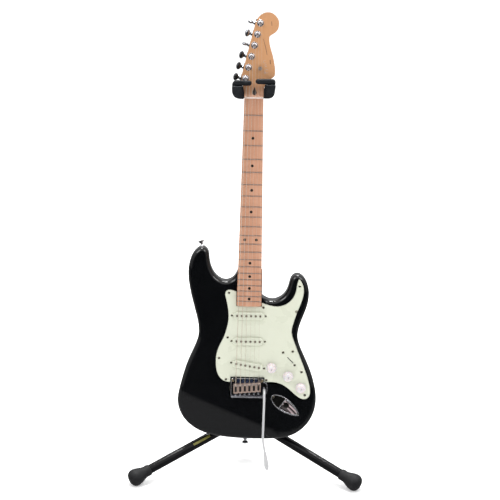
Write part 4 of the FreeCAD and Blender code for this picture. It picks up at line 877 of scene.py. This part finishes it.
knob_white = finish_of("aged_white_knob", (0.60, 0.548, 0.558), (0.67, 0.618, 0.628), (0.28, 0.4), scale=120,
                       subsurface_weight=0.15, subsurface_scale=0.003)
KNOB_PROFILE = [(0, 11.9), (0.8, 12.0), (2.4, 11.7), (3.4, 10.6), (4.4, 9.6), (5.4, 9.2), (12.6, 8.6), (13.6, 8.1),
                (14.0, 7.2), (14.0, 6.6), (13.6, 6.0), (13.55, 0)]
KNOB_BASE = 2.6
POINTER_DEPTHS = (-16.32, -16.0)
knob_mark = finish_of("grey_knob_mark", (0.16, 0.14, 0.145), (0.22, 0.2, 0.2), (0.4, 0.5), scale=200)
for body_name, node in (("volume", "volume_knob"), ("tone_1", "tone_knob_1"), ("tone_2", "tone_knob_2")):
    joint = joint_of[body_name + "_turn"]
    place = np.array(joint["pos_m"])
    place = place - BACK * ((place - NUT) @ BACK) - BACK * KNOB_BASE * MM
    dressed(turned("fluted_" + node, KNOB_PROFILE, place, -BACK, 144, flutes=24, depth=0.012), knob_white, body_name,
            node)
    side, down = ((place - NUT) @ RIGHT) / MM, -((place - NUT) @ UP) / MM
    mark = tilted(round_corners(-0.45, 0.45, -3.2, 3.2, 0.3, 3), side + 0.6, down + 0.8, 0.35)
    dressed(slab(body_name + "_pointer", mark, *POINTER_DEPTHS, 0.05), knob_mark, body_name)

# ---------------- bridge plate
# Stamped steel plate with stepped shoulders, chromed, with a bead round its edge that is brighter than the plate,
# a painted highlight, and a bent-up lip behind the saddles.

PLATE = [(-37, 636, 3), (37.5, 636, 3), (37.5, 645, 2), (41.5, 645, 4), (46.5, 649, 4), (46.5, 668, 4), (42, 672, 4),
         (37.5, 672, 2), (37.5, 680, 3), (-37, 680, 3)]
PLATE_TOP = -6.0
plate_chrome = finish_of("smoked_chrome_plate", (0.30, 0.30, 0.33), (0.42, 0.42, 0.46), (0.10, 0.2), metallic=1.0,
                         scale=120)
# Painted highlight: a brighter copy of the plate's chrome for the edge beads; the lip and the saddles' screws share it.
chrome_painted_highlight = finish_of("chrome_edge_painted_highlight", (0.55, 0.56, 0.60), (0.75, 0.75, 0.79), (0.16, 0.26), metallic=0.85,
                       scale=160)
dressed(slab("rounded_bridge_plate", eased_corners(PLATE), PLATE_TOP, -3.5, 1.0), plate_chrome, "bridge",
        "bridge_plate")


def edge_wire(loop, depth, radius, name):
    """Rounded bead that runs round a closed loop."""
    into = inward(loop)
    rows = []
    for angle in np.linspace(0, 2 * math.pi, 8, endpoint=False):
        rows.append(at_depth(loop + into * (radius + radius * math.cos(angle)), depth + radius * math.sin(angle)))
    rows.append(rows[0])
    return weld(mesh_piece(name, rows, strip_faces(len(rows), len(loop)), None))


dressed(edge_wire(eased_corners(PLATE), -5.9, 0.55, "plate_bead"), chrome_painted_highlight, "bridge")
lip = round_corners(-36.4, 36.9, 677.6, 680, 0.8, 3)
dressed(slab("plate_lip", lip, -13, -5, 0.5), chrome_painted_highlight, "bridge")

# ---------------- saddles
# Six blocks of bent steel with a warm tone, at staggered lengths, each with a slot shown as a sheet of painted shade,
# a screw to the lip and two small height screws.

SADDLE_PITCH = 10.4
SADDLE_HALF = 5.15
FIRST_SADDLE = 649.6
SADDLE_LENGTH = 20.5
SADDLE_TOP = -14.4
saddle_steel = finish_of("warm_saddle_steel", (0.36, 0.26, 0.215), (0.50, 0.38, 0.32), (0.28, 0.42), metallic=0.45,
                         scale=260, grain=0.1)
# Painted shade: a near-black sheet laid over each saddle where its slot's hollow would be dark.
slot_painted_shade = finish_of("saddle_slot_painted_shade", (0.006, 0.005, 0.005), (0.015, 0.012, 0.011), (0.4, 0.6), scale=200)
saddles, slot_shade_sheets, heads = [], [], []
for number in range(6):
    side = (number - 2.5) * SADDLE_PITCH
    top = FIRST_SADDLE - number
    outline = round_corners(side - SADDLE_HALF, side + SADDLE_HALF, top, top + SADDLE_LENGTH, 1.0, 4)
    saddles.append(slab("saddle", outline, SADDLE_TOP, PLATE_TOP, 0.9))
    slot_shade_sheets.append(slab("slot", round_corners(side - 2.5, side + 2.5, top + 4.2, top + 17.0, 1.2, 4), SADDLE_TOP - 0.1,
                      -13.0, 0.04))
    heads.append(turned("head", [(0, 1.4), (5.5, 1.4), (5.6, 2.3), (7.2, 2.4), (7.5, 2.0), (7.5, 0)],
                        on_guitar(side, -10.4, top + 20.0), -UP, 20))
    for offset in (-3.4, 3.4):
        heads.append(turned("height_screw", [(0, 1.1), (2.2, 1.1), (2.4, 0.8), (2.4, 0)],
                            on_guitar(side + offset, -13.6, top + 2.2), -BACK, 14))
dressed(joined("copper_saddles", saddles), saddle_steel, "bridge", "saddles")
dressed(joined("saddle_slot_shades", slot_shade_sheets), slot_painted_shade, "bridge")
dressed(joined("saddle_screws", heads), chrome_painted_highlight, "bridge")

# ---------------- plate's screws and recesses
# Two domed brass screws at the plate's upper corners.
# Between them are five shallow recesses, each a thin patch whose blue shine is a painted reflection.

gold_screw = finish_of("brass_screws", (0.42, 0.33, 0.2), (0.6, 0.5, 0.34), (0.25, 0.4), metallic=0.8, scale=300)
corners = [turned("screw", [(0, 3.4), (1.4, 3.4), (2.0, 2.8), (2.1, 0)], on_guitar(side, -5.9, 640.5), -BACK, 24)
           for side in (-32.5, 33.0)]
dressed(joined("plate_screws", corners), gold_screw, "bridge")
# Painted reflection: thin blue patches stand for the recesses' blue shine.
painted_blue_reflection = finish_of("painted_blue_reflection", (0.02, 0.035, 0.08), (0.06, 0.085, 0.16), (0.2, 0.35), metallic=0.6, scale=90)
blue_reflection_patches = [slab("blue_reflection_patches", round_corners(side - 3.1, side + 3.1, 638.0, 647.0, 1.0, 3), -6.25, -5.9, 0.05)
         for side in (-20.5, -10.2, 0.0, 10.2, 20.5)]
dressed(joined("plate_recesses", blue_reflection_patches), painted_blue_reflection, "bridge")

# ---------------- jack plate
# Boat-shaped pressing in dark chrome with a beaded rim, the bead bright with a painted highlight, and a dished bowl
# whose curved side carries light and dark stripes, a painted reflection of the room. The socket's nut stands in
# the bowl.

BOWL_TURN = JACK_TILT + 0.12
BOWL_OUT = 9
BOWL_HALF = 0.012
BOWL_DEPTH = 9.5
PAINTED_REFLECTION_PINK = (1.0, 0.82, 0.84)
PAINTED_REFLECTION_BANDS = [(0.0, 0.03), (0.20, 0.05), (0.27, 0.72), (0.36, 0.85), (0.42, 0.06), (0.52, 0.03), (0.58, 0.45), (0.66, 0.80),
         (0.72, 0.10), (0.9, 0.04)]
jack_chrome = finish_of("dark_jack_chrome", (0.22, 0.215, 0.20), (0.32, 0.31, 0.29), (0.14, 0.22), metallic=1.0,
                        scale=140)
# Painted reflection: pinkish light and dark stripes across the bowl, laid on by a ramp along one direction.
painted_reflection_bowl, tree, shader = new_material("bowl_painted_reflection_stripes")
across_way = guitar_way(-math.sin(BOWL_TURN), 0.0, math.cos(BOWL_TURN))
bowl_middle = on_guitar(JACK_PLACE[0] + BOWL_OUT * math.cos(JACK_TILT), 0.0,
                        JACK_PLACE[1] + BOWL_OUT * math.sin(JACK_TILT))
middle = float(bowl_middle @ across_way)
reflection_ramp = add_node(tree, "ValToRGB")
link(map_range(tree, measured(tree, across_way), 0.0, 1.0, middle - BOWL_HALF, middle + BOWL_HALF),
     reflection_ramp.inputs["Fac"])
while len(reflection_ramp.color_ramp.elements) < len(PAINTED_REFLECTION_BANDS):
    reflection_ramp.color_ramp.elements.new(0.5)
for element, (place, value) in zip(reflection_ramp.color_ramp.elements, PAINTED_REFLECTION_BANDS):
    element.position = place
    element.color = (*(value * tint for tint in PAINTED_REFLECTION_PINK), 1.0)
link(reflection_ramp.outputs["Color"], shader.inputs["Base Color"])
shader.inputs["Metallic"].default_value = 0.15
shader.inputs["Roughness"].default_value = 0.2
outer, rim, inner = jack_loop(JACK_BOAT), jack_loop(JACK_RECESS, 2.0), jack_loop(JACK_RECESS, 0.2)
bowl_centre = np.array(jack_hole) + np.array([2.0, 1.4])
into = inward(outer)
plate_rows = [at_depth(loop, depth) for loop, depth in (
    (outer, 0.15), (outer, -0.9), (outer + into * 0.5, -1.6), (outer + into * 1.4, -1.7), (outer + into * 1.9, -1.25),
    (rim, -1.25), (rim * 0.8 + inner * 0.2, -2.3), (inner, -2.3), (inner, 3.0))]
bowl_rows = [at_depth(bowl_centre + (inner - bowl_centre) * f, BOWL_DEPTH * math.sqrt(1 - f ** 4) - 1.4)
             for f in (1.0, 0.97, 0.9, 0.8, 0.66, 0.5, 0.34, 0.18, 0.02)]


def open_rows(name, rows, sharp=40):
    """Open skin over rows of points, facing the front."""
    rows = np.asarray(rows)
    piece = mesh_piece(name, rows, strip_faces(len(rows), rows.shape[1]), None)
    facing = sum((face.normal.dot(Vector(tuple(BACK))) * face.area) for face in piece.data.polygons)
    if facing > 0:
        piece.data.flip_normals()
    piece.data.set_sharp_from_angle(angle=math.radians(sharp))
    return piece


dressed(open_rows("boat_jack_plate", plate_rows), jack_chrome, "guitar", "jack_plate")
dressed(open_rows("jack_bowl", bowl_rows), painted_reflection_bowl, "guitar")
# Beads of the brighter chrome: a painted highlight along the recess and the boat's edge.
dressed(edge_wire(jack_loop(JACK_RECESS, 1.5), -2.3, 0.75, "recess_bead"), chrome_painted_highlight, "guitar")
dressed(edge_wire(jack_loop(JACK_BOAT), -1.4, 0.6, "boat_bead"), chrome_painted_highlight, "guitar")
dressed(turned("jack_nut", [(0, 6.8), (1.6, 6.8), (2.2, 6.2), (2.4, 4.6), (2.4, 4.4), (1.0, 4.2), (1.0, 0)],
               on_guitar(jack_hole[0], 8.4, jack_hole[1]), -BACK, 36), jack_chrome, "guitar")

# ---------------- tremolo arm
# Bent steel rod in pale satin chrome, screwed into the block beside the saddles.
# It hangs straight down and swings about its threaded end.

coated("trem_arm", "pale_arm", (0.56, 0.56, 0.57), (0.62, 0.62, 0.63), (0.30, 0.36), metallic=0.25, scale=40)

# ---------------- floor
# Pale seamless studio floor. In polished things it mirrors grey close by, and dark towards the unlit front
# of the room, so that flat gloss stays black and a slope shows as grey.

FLOOR_HALF = 40.0
MIRRORED_GREY = 0.36
LIT_FROM = -0.55
DARK_FROM = -0.85
floor_mesh = bpy.data.meshes.new("studio_floor")
floor_mesh.from_pydata([(x * FLOOR_HALF, y * FLOOR_HALF, 0.0) for x, y in ((-1, -1), (1, -1), (1, 1), (-1, 1))],
                       [], [(0, 1, 2, 3)])
floor = bpy.data.objects.new("studio_floor", floor_mesh)
bpy.context.scene.collection.objects.link(floor)
paper, tree, matt = new_material("pale_floor")
for label, value in (("Base Color", (0.94, 0.94, 0.94, 1)), ("Roughness", 0.9), ("Specular IOR Level", 0.0),
                     ("Emission Color", (1, 1, 1, 1)), ("Emission Strength", 0.22)):
    matt.inputs[label].default_value = value
mirrored = add_node(tree, "Emission")
coords = add_node(tree, "TexCoord")
place = add_node(tree, "SeparateXYZ")
link(coords.outputs["Object"], place.inputs[0])
link(map_range(tree, place.outputs["Y"], 0.01, MIRRORED_GREY, DARK_FROM, LIT_FROM), mirrored.inputs["Strength"])
rays = add_node(tree, "LightPath")
either = add_node(tree, "MixShader")
link(rays.outputs["Is Glossy Ray"], either.inputs["Fac"])
link(matt.outputs["BSDF"], either.inputs[1])
link(mirrored.outputs["Emission"], either.inputs[2])
link(either.outputs["Shader"], tree.nodes["Material Output"].inputs["Surface"])
floor.data.materials.append(paper)

# ---------------- room light
# Pale ceiling, greyer walls and a dark opening straight in front of the guitar, which only polished things
# mirror: seen directly the room is white. Soft boxes above give the small bright highlights on the rims.

DARK_HALF_ANGLE = (math.radians(22.0), math.radians(48.0))
CEILING_LIGHT = 1.25
WALL_LIGHT = 0.42
DARK_LIGHT = 0.012
SEEN_LIGHT = 1.0
world = bpy.data.worlds.new("studio")
bpy.context.scene.world = world
world.use_nodes = True
tree = world.node_tree
coords = add_node(tree, "TexCoord")
facing = add_node(tree, "VectorMath", {1: (0.0, -1.0, 0.0)}, operation="DOT_PRODUCT")
height = add_node(tree, "SeparateXYZ")
for node in (facing, height):
    link(coords.outputs["Generated"], node.inputs[0])
walls = map_range(tree, height.outputs["Z"], WALL_LIGHT, CEILING_LIGHT, 0.15, 0.8)
openness = map_range(tree, facing.outputs["Value"], 1.0, 0.0, math.cos(DARK_HALF_ANGLE[1]),
                     math.cos(DARK_HALF_ANGLE[0]))
light = add_node(tree, "Math", {2: DARK_LIGHT}, operation="MULTIPLY_ADD")
link(walls, light.inputs[0])
link(openness, light.inputs[1])
seen = add_node(tree, "LightPath")
shown = add_node(tree, "Mix", {"B": SEEN_LIGHT})
link(seen.outputs["Is Camera Ray"], shown.inputs["Factor"])
link(light.outputs["Value"], shown.inputs["A"])
link(shown.outputs["Result"], tree.nodes["Background"].inputs["Strength"])
tree.nodes["Background"].inputs["Color"].default_value = (1.0, 1.0, 1.0, 1.0)


def soft_box(name, place, target, width, height, power):
    """Rectangular lamp at place, facing target."""
    lamp = bpy.data.lights.new(name, "AREA")
    lamp.shape = "RECTANGLE"
    lamp.size = width
    lamp.size_y = height
    lamp.energy = power
    holder = bpy.data.objects.new(name, lamp)
    holder.location = place
    holder.rotation_euler = (Vector(target) - Vector(place)).to_track_quat("-Z", "Y").to_euler()
    bpy.context.scene.collection.objects.link(holder)


soft_box("left_soft_box", (-2.2, -1.8, 2.9), (0, 0, 0.5), 1.4, 1.4, 32)
soft_box("right_soft_box", (2.2, -1.6, 2.9), (0, 0, 0.5), 1.4, 1.4, 28)
soft_box("rear_soft_box", (0.0, 2.6, 3.0), (0, 0.4, 0.2), 2.4, 1.2, 24)
for number, side in enumerate((-0.42, 0.0, 0.42)):
    soft_box("spot_box_%d" % number, (side, 0.35, 2.7), (side * 0.4, 0.0, 0.5), 0.32, 0.32, 24)

# ---------------- camera
# A long lens a little above the guitar, looking down at its front.
# It is rolled slightly and shifted sideways to centre the guitar.

CAMERA_PLACE = (-0.009, -2.5297, 1.3241)
CAMERA_DOWN = math.radians(17.98)
CAMERA_ROLL = math.radians(1.31)
FOCAL_LENGTH = 81.5
SIDE_SHIFT = 0.0074
lens = bpy.data.cameras.new("camera")
lens.lens = FOCAL_LENGTH
lens.sensor_width = 36.0
lens.shift_x = SIDE_SHIFT
camera = bpy.data.objects.new("camera", lens)
camera.matrix_world = (Matrix.Translation(CAMERA_PLACE) @ Matrix.Rotation(math.pi / 2 - CAMERA_DOWN, 4, "X")
                       @ Matrix.Rotation(CAMERA_ROLL, 4, "Z"))
bpy.context.scene.collection.objects.link(camera)
bpy.context.scene.camera = camera
bpy.context.scene.view_settings.view_transform = "Standard"
